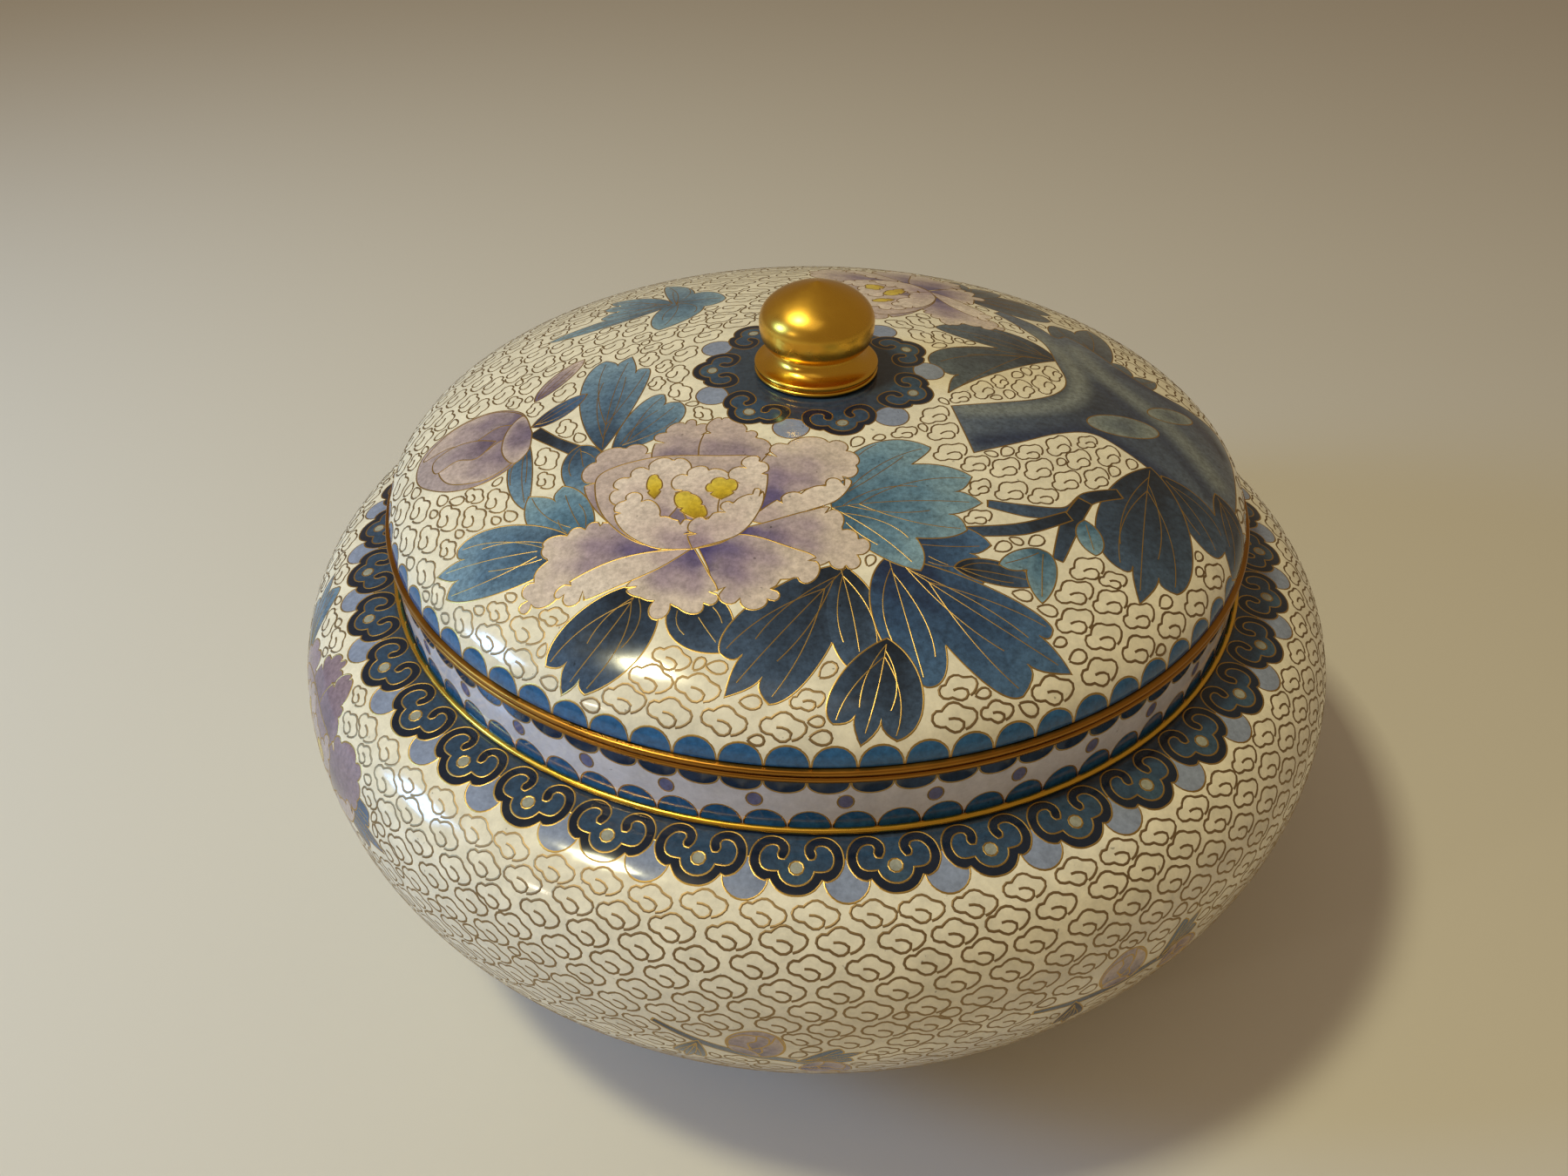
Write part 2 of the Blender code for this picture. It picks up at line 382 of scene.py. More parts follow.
def bowed(start, end, pull):
    """A line whose middle is pulled aside."""
    start, end = np.array(start, float), np.array(end, float)
    count = max(6, int(math.hypot(*(end - start)) / BOWED_STEP))
    t = np.linspace(0.0, 1.0, count)[:, None]
    return start + t * (end - start) + 4.0 * t * (1.0 - t) * pull


def full_side(base, through, tip):
    """One side of a leaf, from its base past a point to a tooth, full until it turns in."""
    along = tip - base
    swell = (through - (base + tip) / 2.0) * 4.0 / 3.0
    segments = max(8, int(1.1 * math.hypot(*along) / STEP))
    first = base + 0.20 * along + swell
    second = base + 0.84 * along + 0.96 * swell
    return bend(base, first, second, tip, segments)


# Teeth and veins of a leaf, as shares of the gap between two teeth and of the rib's length
NOTCH_DEPTH, DEEPEST_NOTCH = 0.62, 5.0
TOOTH_BOW = 0.14
RIB_BOW, SIDE_VEIN_BOW, FORK_BOW = 0.35, 0.30, 0.26
RIB_REACH, SIDE_VEIN_REACH = 0.93, 0.94
SIDE_VEIN_START = 0.22
# On a leaf this long in millimetres, two more veins fork off: side, start and reach on the rib
FORKED_LEAF = 13.0
FORKS = ((0, 0.10, 0.62), (1, 0.14, 0.66))


def leaf_shape(base, left, tips, right):
    """Outline and veins of a leaf: full sides through left and right, with teeth between them."""
    base, left, right, tips = (np.array(value, float) for value in (base, left, right, tips))
    parts = [full_side(base, left, tips[0])]
    for before, after in zip(tips[:-1], tips[1:]):
        middle = (before + after) / 2.0
        gap = after - before
        back = (base - middle) / math.hypot(*(base - middle))
        notch = middle + back * min(NOTCH_DEPTH * math.hypot(*gap), DEEPEST_NOTCH)
        parts.append(bowed(before, notch, TOOTH_BOW * gap)[1:])
        parts.append(bowed(notch, after, -TOOTH_BOW * gap)[1:])
    parts.append(full_side(base, right, tips[-1])[-2:0:-1])
    lean = (left - (base + tips[0]) / 2.0, right - (base + tips[-1]) / 2.0)
    centre = len(tips) // 2
    rib = bowed(base, tips[centre], RIB_BOW * (lean[0] + lean[1]))
    veins = [rib[: int(len(rib) * RIB_REACH)]]
    for index, tip in enumerate(tips):
        if index != centre:
            start = rib[int(SIDE_VEIN_START * len(rib))]
            end = start + SIDE_VEIN_REACH * (tip - start)
            veins.append(bowed(start, end, SIDE_VEIN_BOW * lean[0 if index < centre else 1]))
    if math.hypot(*(tips[centre] - base)) > FORKED_LEAF:
        for side, start, reach in FORKS:
            begin = rib[int(start * len(rib))]
            end = rib[int(reach * len(rib))] + 0.58 * lean[side]
            veins.append(bowed(begin, end, FORK_BOW * lean[side]))
    return np.vstack(parts), veins


def petal_shape(points, rim, lobes, depth):
    """Outline of a petal through the points, cut into uneven round lobes between two of them."""
    outline = spline(points, sharp=(0,), step=0.5)
    if rim is None:
        return outline
    shaker = random.Random(int(1000 + 31 * points[1][0] + 17 * points[1][1] + 7 * lobes))
    first, last = (int(np.hypot(*(outline - np.array(points[index])).T).argmin()) for index in rim)
    edge = outline[first : last + 1]
    run = run_of(edge)
    share = run / run[-1]
    lobes = max(2, round(0.75 * lobes))
    cuts = np.cumsum([shaker.uniform(0.5, 1.5) for _ in range(lobes)])
    cuts = np.concatenate(([0.0], cuts)) / cuts[-1]
    lobe = np.clip(np.searchsorted(cuts, share, side="right") - 1, 0, lobes - 1)
    within = np.clip((share - cuts[lobe]) / (cuts[lobe + 1] - cuts[lobe]), 0.0, 1.0)
    swell = np.array([shaker.uniform(0.5, 1.3) for _ in range(lobes)])[lobe]
    wave = depth * swell * (np.sin(math.pi * within) ** 0.38 - 0.66)
    onward = headings(edge)
    x, y = outline.T
    turning = np.sign(np.sum(x * np.roll(y, -1) - y * np.roll(x, -1)))
    outward = np.column_stack((onward[:, 1], -onward[:, 0])) * turning
    return np.vstack((outline[:first], edge + wave[:, None] * outward, outline[last + 1 :]))


def limb_shape(points, widths):
    """Outline of a branch along a line of points with a width at each."""
    line = spline(points, closed=False)
    marks = np.linspace(0.0, 1.0, len(widths))
    half = 0.5 * np.interp(np.linspace(0.0, 1.0, len(line)), marks, widths)
    along = headings(line)
    across = np.column_stack((-along[:, 1], along[:, 0])) * half[:, None]
    return np.vstack((line + across, (line - across)[::-1]))


# Paints: a function that gives each point of a cell its colour and its frit grain


def flat_paint(colour, grain=0.25):
    """One even enamel."""

    def paint(points, outline):
        return np.tile((*colour, grain), (len(points), 1))

    return paint


def smooth(share):
    """Ease from 0 to 1."""
    share = np.clip(share, 0.0, 1.0)
    return share * share * (3.0 - 2.0 * share)


def mixed(first, second, share):
    """A blend of two enamels, one share for each point."""
    share = np.clip(share, 0.0, 1.0)[:, None]
    return np.array(first) * (1.0 - share) + np.array(second) * share


def shaded_paint(base, reach, deep, body, tip=None, grain=1.0):
    """Enamels wet-packed into each other: deep near the base, then body, then a pale tip."""

    def paint(points, outline):
        x, y = points.T
        away = np.hypot(*(points - np.array(base, float)).T) / reach
        away = away + 0.05 * np.sin(0.9 * x) + 0.05 * np.sin(1.1 * y + 0.4 * x)
        colour = mixed(deep, body, smooth(away / 0.6))
        if tip is not None:
            close = 1.0 - np.clip(distance_to(outline, points) / (0.16 * reach), 0.0, 1.0)
            rim = 0.35 * close * (away > 0.3)
            colour = mixed(colour, tip, 0.9 * smooth((away - 0.45) / 0.55) + rim)
        return np.column_stack((colour, np.full(len(points), grain)))

    return paint


def streaked_paint(ground, strokes):
    """A shaded enamel with soft strokes of others in it: their points, width and colour."""
    laid = [
        (spline(points, closed=False), 0.5 * width, linear(colour))
        for points, width, colour in strokes
    ]

    def paint(points, outline):
        colour = ground(points, outline)[:, :3]
        for line, half, other in laid:
            colour = mixed(colour, other, smooth(1.0 - distance_to(line, points) / half))
        return np.column_stack((colour, np.ones(len(points))))

    return paint


# Numbers from which the groups of cells with no wire between them are counted
LONE_CELLS, LEAF_CELLS, RUYI_CELLS = 1000, 5000, 9000
# Room, in millimetres, between the mesh points inside the cells and the drawing's edges,
# the corner of neck and shoulder, and the drawn lines
EDGE_ROOM, CORNER_ROOM, LINE_ROOM = 0.8, 0.6, 0.55
# Rise of the rows of a triangular grid, and how far its points stray, as shares of the pitch
ROW_RISE, STRAY = 0.866, 0.12


class Drawing:
    """The enamel cells of one turned surface, the later ones on top of the earlier ones."""

    def __init__(self, surface):
        self.surface = surface
        self.outlines, self.groups, self.paints, self.fine = [], [], [], []
        self.grounds = 0
        self.veins = []
        self.at()

    def at(self, spot=None, scale=1.0, turn=0.0):
        """Draw what follows round this spot, or straight on the flat drawing if there is none.

        On the bowl a spot is an azimuth in degrees and an arc length, and shapes have y towards
        the neck. On the lid it is a flat point.
        """
        self.spot, self.scale, self.turn = spot, scale, turn

    def place(self, shape):
        """Points of a shape on the flat drawing."""
        if self.spot is None:
            return np.asarray(shape, float)
        shape = rotated(shape, self.turn) * self.scale
        if not self.surface.wheel:
            return shape + self.spot
        azimuth, s = self.spot
        return self.surface.near(math.radians(azimuth), s, shape * (1.0, -1.0))

    def cell(self, outline, paint, group=None, fine=None, ground=False):
        """Add a cell; cells of one group have no wire between them."""
        outline = self.place(outline)
        if group is None:
            group = LONE_CELLS + len(self.outlines)
        shifts = [0.0]
        if self.surface.wheel and not ground:
            half = self.surface.half
            if outline[:, 0].max() > half - 1.0:
                shifts.append(-2.0 * half)
            if outline[:, 0].min() < 1.0 - half:
                shifts.append(2.0 * half)
        for shift in shifts:
            self.outlines.append(outline + (shift, 0.0))
            self.groups.append(group)
            self.paints.append(paint)
            self.fine.append(fine)
        if ground:
            self.grounds += 1

    def vein(self, line):
        """A wire laid inside the cell drawn last."""
        self.veins.append((self.place(line), self.groups[-1]))

    def owner(self, points):
        """Index of the topmost cell at each point, -1 outside the surface."""
        found = np.full(len(points), -1)
        for index, outline in enumerate(self.outlines):
            found[inside(outline, points)] = index
        found[~self.within(points)] = -1
        return found

    def within(self, points, room=0.0):
        """Which points lie on the drawing, with this much room to its edges."""
        surface = self.surface
        if surface.wheel:
            aside, s = np.abs(points[:, 0]), points[:, 1]
            beside = aside <= surface.half - room
            return beside & (s >= surface.start + room) & (s <= surface.end - room)
        return np.hypot(*points.T) <= surface.end - room

    def fill_points(self):
        """Points inside the cells that let the surface curve and the colours blend."""
        shaker = random.Random(SEED)

        def grid(low, high, pitch):
            rows = int((high[1] - low[1]) / (pitch * ROW_RISE)) + 1
            columns = int((high[0] - low[0]) / pitch) + 1
            ys = low[1] + 0.5 * ROW_RISE * pitch + pitch * ROW_RISE * np.arange(rows)
            xs = low[0] + pitch * (0.5 + np.arange(columns))
            mesh = np.stack(np.meshgrid(xs, ys), -1)
            mesh[1::2, :, 0] += 0.5 * pitch
            points = mesh.reshape(-1, 2)
            stray = [(shaker.uniform(-1, 1), shaker.uniform(-1, 1)) for _ in range(len(points))]
            return points + STRAY * pitch * np.array(stray)

        sets = [grid(*self.surface.corners(), MOSAIC_PITCH)]
        for outline, fine in zip(self.outlines, self.fine):
            if fine:
                extra = grid(outline.min(0), outline.max(0), fine)
                sets.append(extra[inside(outline, extra)])
        points = np.vstack(sets)
        points = points[self.within(points, EDGE_ROOM)]
        if self.surface.wheel:
            points = points[np.abs(points[:, 1]) > CORNER_ROOM]
        drawn = np.vstack(self.outlines)
        tree = kdtree.KDTree(len(drawn))
        for index, point in enumerate(drawn):
            tree.insert((*point, 0.0), index)
        tree.balance()
        return [tuple(point) for point in points if tree.find((*point, 0.0))[2] > LINE_ROOM]

    def mosaic(self):
        """Triangles of the flat drawing and the cell that each belongs to."""
        corners, edges = [], []
        for outline in self.outlines:
            if not self.within(outline).any():
                continue
            first = len(corners)
            corners.extend(map(tuple, outline))
            count = len(outline)
            edges.extend((first + at, first + (at + 1) % count) for at in range(count))
        corners.extend(self.fill_points())
        found = delaunay_2d_cdt([Vector(corner) for corner in corners], edges, [], 0, 1e-4)
        flat = np.array([tuple(corner) for corner in found[0]])
        faces = np.array([tuple(face) for face in found[2] if len(face) == 3])
        owner = self.owner(flat[faces].mean(1))
        a, b, c = (flat[faces[:, at]] for at in range(3))
        ab, ac = b - a, c - a
        area = ab[:, 0] * ac[:, 1] - ab[:, 1] * ac[:, 0]
        faces[area < 0] = faces[area < 0][:, ::-1]
        keep = (owner >= 0) & (np.abs(area) > 1e-7)
        return flat, faces[keep], owner[keep]


# Meshes


def new_object(name, corners, faces, material, smooth=True):
    """A mesh object from corners in millimetres."""
    mesh = bpy.data.meshes.new(name)
    places = (np.asarray(corners) * MM).tolist()
    mesh.from_pydata(places, [], [list(map(int, face)) for face in faces])
    if smooth:
        mesh.shade_smooth()
    mesh.materials.append(material)
    piece = bpy.data.objects.new(name, mesh)
    bpy.context.scene.collection.objects.link(piece)
    return piece


def boundary_loops(faces):
    """Chains of corners along the open edges, in the order in which the faces run."""
    following = {}
    seen = set()
    for a, b, c in faces.tolist():
        seen.update(((a, b), (b, c), (c, a)))
    for a, b in seen:
        if (b, a) not in seen:
            following[a] = b
    loops = []
    while following:
        first = next(iter(following))
        loop = [first]
        while True:
            ahead = following.pop(loop[-1], None)
            if ahead is None or ahead == first:
                break
            loop.append(ahead)
        loops.append(loop)
    return loops


# Grain of the frit in the plain enamel inside and underneath
BACK_GRAIN = 0.35


def joined_mosaic(drawing):
    """The mosaic with its doubled corners joined, and on the bowl with its seam closed.

    Returns the flat corners, the faces of the closed surface, the same faces on the flat drawing,
    which still ends at the seam, and the cell of each.
    """
    surface = drawing.surface
    flat, faces, owner = drawing.mosaic()
    # Some corners are doubled where cells meet: joined, they leave no slit between the cells
    _, first, same = np.unique(
        flat.round(3) + 0.0, axis=0, return_index=True, return_inverse=True
    )
    flat_faces = first[same.ravel()][faces]
    faces = flat_faces.copy()
    if surface.wheel:
        left = np.flatnonzero(np.abs(flat[:, 0] + surface.half) < 1e-3)
        right = np.flatnonzero(np.abs(flat[:, 0] - surface.half) < 1e-3)
        swap = np.arange(len(flat))
        for index in right:
            swap[index] = left[np.argmin(np.abs(flat[left, 1] - flat[index, 1]))]
        faces, flat_faces = swap[faces][:, ::-1], flat_faces[:, ::-1]
    sound = (faces != np.roll(faces, 1, 1)).all(1)
    return flat, faces[sound], flat_faces[sound], owner[sound]


def carry_on(name, corners, faces, backs):
    """Carry each open edge of the faces on along its back, up to the axis.

    New corners are added to the list; the new faces are returned.
    """
    added = []
    for loop in boundary_loops(faces):
        height = corners[loop[0]][2]
        back = min(backs, key=lambda profile: abs(profile[0][1] - height))
        azimuth = np.unwrap([math.atan2(corners[index][1], corners[index][0]) for index in loop])
        if abs(azimuth[-1] - azimuth[0]) < math.pi:
            raise RuntimeError(f"{name} has a slit at {corners[loop[0]]}")
        # Hair-fine kinks of the edge aren't carried on into the back
        azimuth = np.sort(azimuth)[:: 1 if azimuth[-1] > azimuth[0] else -1]
        ring = list(loop)
        for radius, level in back[1:]:
            following = ring[1:] + ring[:1]
            first = len(corners)
            if radius < 1e-6:
                corners.append((0.0, 0.0, level))
                added.extend((after, at, first) for at, after in zip(ring, following))
                break
            x, y = radius * np.cos(azimuth), radius * np.sin(azimuth)
            corners.extend(zip(x, y, [level] * len(loop)))
            fresh = list(range(first, first + len(loop)))
            added.extend(zip(following, ring, fresh, fresh[1:] + fresh[:1]))
            ring = fresh
    return added


def enamel_shell(name, drawing, backs, back_colour, material):
    """The mosaic as the outside of one closed, hollow shell, and the mosaic itself.

    Each back is a profile of (radius, height) that carries on from the open edge at its first
    height and ends on the axis.
    """
    surface = drawing.surface
    flat, faces, flat_faces, owner = joined_mosaic(drawing)
    corners, _ = surface.lay(flat, -WIRE_PROUD)
    corners = list(map(tuple, corners))

    # Colour and normal at every corner of every outside face
    count = len(faces)
    colours = np.zeros((count, 3, 4))
    spots = flat[flat_faces]
    for index, paint in enumerate(drawing.paints):
        mine = np.flatnonzero(owner == index)
        if len(mine):
            points = spots[mine].reshape(-1, 2)
            colours[mine] = paint(points, drawing.outlines[index]).reshape(-1, 3, 4)
    side = None
    if surface.wheel:
        # Each side of the corner of neck and shoulder keeps its own normal
        sign = np.sign(spots[:, :, 1].mean(1))[:, None]
        side = np.where(np.abs(spots[:, :, 1]) < 0.4, 0.3 * sign, 0.0)
    _, normals = surface.lay(spots, side=side)

    all_faces = faces.tolist() + carry_on(name, corners, faces, backs)
    used = sorted({index for face in all_faces for index in face})
    renumber = {index: at for at, index in enumerate(used)}
    all_faces = [[renumber[index] for index in face] for face in all_faces]
    piece = new_object(name, [corners[index] for index in used], all_faces, material)
    mesh = piece.data
    glaze = np.tile((*back_colour, BACK_GRAIN), (len(mesh.loops), 1))
    glaze[: 3 * count] = colours.reshape(-1, 4)
    layer = mesh.color_attributes.new("glaze", "FLOAT_COLOR", "CORNER")
    layer.data.foreach_set("color", glaze.astype(np.float32).ravel())
    mesh.set_sharp_from_angle(angle=math.radians(35.0))
    shading = np.zeros((len(mesh.loops), 3))
    shading[: 3 * count] = normals.reshape(-1, 3)
    mesh.normals_split_custom_set(shading.tolist())
    return piece, (flat, flat_faces, owner)


def strands(points, normals, width, closed=False):
    """Corners and faces of wires: a low ridge on a flat base, n wires of m points each."""
    if closed:
        ahead, behind = np.roll(points, -1, 1), np.roll(points, 1, 1)
    else:
        ahead = np.concatenate((points[:, 1:], points[:, -1:]), 1)
        behind = np.concatenate((points[:, :1], points[:, :-1]), 1)
    tangent = ahead - behind
    tangent /= np.maximum(np.linalg.norm(tangent, axis=2, keepdims=True), 1e-9)
    onward = ahead - points
    size = np.linalg.norm(onward, axis=2, keepdims=True)
    onward = np.where(size > 1e-9, onward / np.maximum(size, 1e-9), tangent)
    mitre = 1.0 / np.clip((onward * tangent).sum(2, keepdims=True), 0.6, 1.0)
    side = np.cross(normals, tangent)
    side /= np.maximum(np.linalg.norm(side, axis=2, keepdims=True), 1e-9)
    side *= mitre * width / 2.0
    low = points - normals * WIRE_SUNK
    wires, length = points.shape[:2]
    corners = np.stack((low + side, points, low - side), 2).reshape(-1, 3)
    first = np.arange(wires)[:, None] * length
    along = np.arange(length if closed else length - 1)[None, :]
    a, b = (3 * (first + at % length).ravel() for at in (along, along + 1))
    quads = np.vstack(
        (
            np.column_stack((a, a + 1, b + 1, b)),
            np.column_stack((a + 1, a + 2, b + 2, b + 1)),
            np.column_stack((a + 2, a, b, b + 2)),
        )
    ).tolist()
    if not closed:
        first = 3 * length * np.arange(wires)
        last = first + 3 * (length - 1)
        quads += np.column_stack((first, first + 2, first + 1)).tolist()
        quads += np.column_stack((last, last + 1, last + 2)).tolist()
    return corners, quads


class Wires:
    """Collects wires into one mesh."""

    def __init__(self, surface):
        self.surface = surface
        self.corners, self.faces, self.count = [], [], 0

    def add(self, flat, width, closed=False):
        """Lay wires given as flat points, one line or many of equal length."""
        flat = np.asarray(flat, float)
        if flat.ndim == 2:
            flat = flat[None]
        points, normals = self.surface.lay(flat)
        corners, faces = strands(points, normals, width, closed)
        self.corners.append(corners)
        self.faces.extend([[index + self.count for index in face] for face in faces])
        self.count += len(corners)

    def finish(self, name, material):
        """All the wires as one piece."""
        return new_object(name, np.vstack(self.corners), self.faces, material, smooth=False)


def wire_lines(drawing, mosaic):
    """Lines along the edges between cells of different groups, as (points, closed)."""
    flat, faces, owner = mosaic
    groups = np.array(drawing.groups)[owner]
    sides = {}
    for face, group in zip(faces.tolist(), groups.tolist()):
        for a, b in zip(face, face[1:] + face[:1]):
            sides.setdefault((min(a, b), max(a, b)), []).append(group)
    links = {}
    for (a, b), found in sides.items():
        if len(found) == 2 and found[0] != found[1]:
            links.setdefault(a, []).append(b)
            links.setdefault(b, []).append(a)
    used = set()
    lines = []

    def fresh(a, b):
        return (min(a, b), max(a, b)) not in used

    def walk(start, ahead):
        line = [start]
        while True:
            used.add((min(start, ahead), max(start, ahead)))
            line.append(ahead)
            if len(links[ahead]) != 2:
                return line
            onward = [other for other in links[ahead] if fresh(ahead, other)]
            if not onward:
                return line
            start, ahead = ahead, onward[0]

    # Lines that start where wires meet come first; what is left runs round on itself
    for junctions in (True, False):
        for start in list(links):
            if junctions and len(links[start]) == 2:
                continue
            for ahead in links[start]:
                if fresh(start, ahead):
                    line = walk(start, ahead)
                    closed = line[0] == line[-1] and len(line) > 3
                    lines.append((flat[line[:-1] if closed else line], closed))
    return lines


# Fewest points of a vein that is still laid where other cells hide the rest of it
SHORTEST_VEIN = 4


def lay_cell_wires(name, drawing, mosaic, width, material):
    """The wires round the cells and the veins inside them."""
    wires = Wires(drawing.surface)
    for line, closed in wire_lines(drawing, mosaic):
        wires.add(line, width, closed)
    groups = np.array(drawing.groups)
    for line, group in drawing.veins:
        top = drawing.owner(line)
        shown = (top >= 0) & (groups[top] == group)
        for run in runs_of(shown, SHORTEST_VEIN):
            wires.add(line[run], VEIN_WIDTH)
    return wires.finish(name, material)


def runs_of(flags, least):
    """Slices of neighbouring true flags, at least so many long."""
    found, first = [], None
    for at, flag in enumerate([*flags, False]):
        if flag and first is None:
            first = at
        elif not flag and first is not None:
            if at - first >= least:
                found.append(slice(first, at))
            first = None
    return found


# Clouds

# One cloud is one bent wire: its hook inside, the lobe below, round by left and top, and back
CLOUD = (
    (-1.3, 0.05), (-0.45, 0.05), (0.45, 0.3), (1.2, 0.75), (1.5, 1.45), (1.1, 2.25), (0.2, 2.75),
    (-0.9, 2.6), (-1.75, 1.85), (-2.4, 1.25), (-3.35, 1.3), (-4.1, 0.7), (-4.35, -0.25),
    (-3.95, -1.25), (-3.1, -1.75), (-2.05, -1.6), (-1.6, -2.25), (-0.85, -2.75), (0.05, -2.9),
    (1.0, -2.6), (1.75, -1.95), (2.2, -1.3), (3.1, -1.35), (3.9, -0.75), (4.25, 0.1), (3.95, 1.0),
    (3.2, 1.75), (2.4, 2.25), (1.55, 2.5),
)
DROP = (
    (-1.75, 0.15), (-0.9, 0.85), (0.3, 1.15), (1.35, 0.75), (1.6, -0.1), (1.1, -0.85), (0.1, -1.05),
    (-0.9, -0.65), (-1.7, 0.0),
)
CLOUD_POINTS, DROP_POINTS = 27, 13
# How wide and how tall the clouds of the bowl and of the lid are drawn, the arc length of the
# first row of each, and how many rows of the bowl belong to the shoulder
BODY_CLOUD = (0.94, 0.84)
LID_CLOUD = (0.95, 0.92)
FIRST_BODY_ROW, FIRST_LID_ROW = 15.7, 30.4
SHOULDER_ROWS = 10
# How loosely clouds are set: spread of their turn in degrees, of their size and of their place
TURN_SPREAD, SIZE_SPREAD, JOG_SPREAD = 2.2, 0.02, (0.14, 0.10)
# Steps aside by which a cloud makes room for what is there, in the order in which they are tried
NUDGES = (
    (0, 0), (0.9, 0), (-0.9, 0), (0, 0.7), (0, -0.7),
    (1.2, 0.8), (-1.2, 0.8), (1.2, -0.8), (-1.2, -0.8),
)
# What fills the gaps, larger shapes first: the shape, its scale and the turns that are tried
GAP_FILLERS = (
    ("cloud", 1.0, (0, 10, -10)),
    ("cloud", 0.88, (0, 12, -12)),
    ("cloud", 0.74, (0, 18, -18)),
    ("drop", 1.15, (0, 40, -40, 90)),
    ("drop", 0.85, (0, 60, -60, 90)),
)
# Grid of places tried in the gaps, and how far from a pitch the spacing may drift along the rows
GAP_GRID = (1.6, 0.9)
PITCH_SLACK = 0.09
MASK_STEP = 0.4
# Room between the clouds and the outer edge of the drawing
CLOUD_ROOM = 0.7


class Mask:
    """Where motifs and wires already lie on a drawing."""

    def __init__(self, drawing):
        self.surface = drawing.surface
        self.low, high = self.surface.corners()
        columns, rows = ((high - self.low) / MASK_STEP).astype(int) + 2
        self.taken = np.zeros((rows, columns), bool)
        for outline in drawing.outlines[drawing.grounds :]:
            self.take(outline)

    def take(self, outline):
        """Mark the inside of an outline and a hair round it, on both sides of the seam."""
        if self.surface.wheel:
            half, turn = self.surface.half, 2 * self.surface.half
            outline = outline - (turn * round(float(outline[:, 0].mean()) / turn), 0.0)
            if outline[:, 0].min() < -half:
                self.stamp(outline + (turn, 0.0))
            if outline[:, 0].max() > half:
                self.stamp(outline - (turn, 0.0))
        self.stamp(outline)

    def stamp(self, outline):
        """Mark an outline where it lies on the drawing."""
        rows, columns = self.taken.shape
        low, high = ((end - self.low) / MASK_STEP for end in (outline.min(0), outline.max(0)))
        first = np.clip(low.astype(int) - 2, 0, None)
        last = np.minimum(high.astype(int) + 3, (columns - 1, rows - 1))
        if (last <= first + 2).any():
            return
        xs, ys = np.arange(first[0], last[0] + 1), np.arange(first[1], last[1] + 1)
        spots = np.stack(np.meshgrid(xs, ys), -1)
        hit = inside(outline, spots.reshape(-1, 2) * MASK_STEP + self.low)
        hit = hit.reshape(spots.shape[:2])
        wide = hit.copy()
        wide[1:] |= hit[:-1]
        wide[:-1] |= hit[1:]
        wide[:, 1:] |= hit[:, :-1]
        wide[:, :-1] |= hit[:, 1:]
        self.taken[first[1] : last[1] + 1, first[0] : last[0] + 1] |= wide

    def free(self, flat):
        """Whether points of the drawing are clear and inside the surface."""
        surface = self.surface
        _, s = surface.polar(flat)
        if surface.wheel:
            flat = flat.copy()
            flat[..., 0] = (flat[..., 0] + surface.half) % (2 * surface.half) - surface.half
        spots = np.rint((flat - self.low) / MASK_STEP).astype(int)
        rows, columns = self.taken.shape
        column = np.clip(spots[..., 0], 0, columns - 1)
        row = np.clip(spots[..., 1], 0, rows - 1)
        return ~self.taken[row, column] & (s < surface.end - CLOUD_ROOM)


def cloud_places(surface, first, last, pitch, row):
    """Azimuth and arc length of the clouds, in rings each half a pitch on from the last."""
    around = None
    s, index = first, 0
    while s < last:
        girth = math.tau * float(surface.radius_at(s))
        if around is None or abs(girth / around - pitch) > PITCH_SLACK * pitch:
            around = max(3, round(girth / pitch))
        for at in range(around):
            yield (at + 0.5 * (index % 2)) * math.tau / around, s
        s += row
        index += 1


def lay_clouds(name, drawing, mask, first, last, grade, sizes, material):
    """Cloud wires on the ground: full clouds in rows, then small clouds and drops in the gaps."""
    surface = drawing.surface
    shaker = random.Random(SEED + 1)
    cloud = resample(spline(CLOUD, closed=False, step=0.2), CLOUD_POINTS) * grade
    drop = resample(spline(DROP, closed=False, step=0.2), DROP_POINTS)
    wires = Wires(surface)
    width = sizes.cloud_wire / MM
    pitch, row = sizes.cloud_pitch / MM * grade[0], sizes.cloud_row / MM * grade[1]
    laid = []
    for azimuth, s in cloud_places(surface, first, last, pitch, row):
        turn, scale = shaker.gauss(0, TURN_SPREAD), 1.0 + shaker.gauss(0, SIZE_SPREAD)
        jog = np.array([shaker.gauss(0, spread) for spread in JOG_SPREAD])
        shape = rotated(cloud, turn) * scale
        for nudge in NUDGES:
            placed = surface.near(azimuth, s, shape + jog + nudge)
            if mask.free(placed).all():
                laid.append(placed)
                mask.take(placed)
                break
    wires.add(np.array(laid), width)

    spots = list(cloud_places(surface, first - 1.0, last + 1.0, *GAP_GRID))
    shaker.shuffle(spots)
    azimuths, levels = (np.array(values)[:, None] for values in zip(*spots))
    for kind, scale, turns in GAP_FILLERS:
        added = []
        for turn in turns:
            shape = rotated((cloud if kind == "cloud" else drop) * scale, turn)
            placed = surface.near(azimuths, levels, shape)
            for at in np.flatnonzero(mask.free(placed).all(1)):
                if mask.free(placed[at]).all():
                    added.append(placed[at])
                    mask.take(placed[at])
        if added:
            wires.add(np.array(added), width)
    return wires.finish(name, material)


# Motifs of the enamel picture

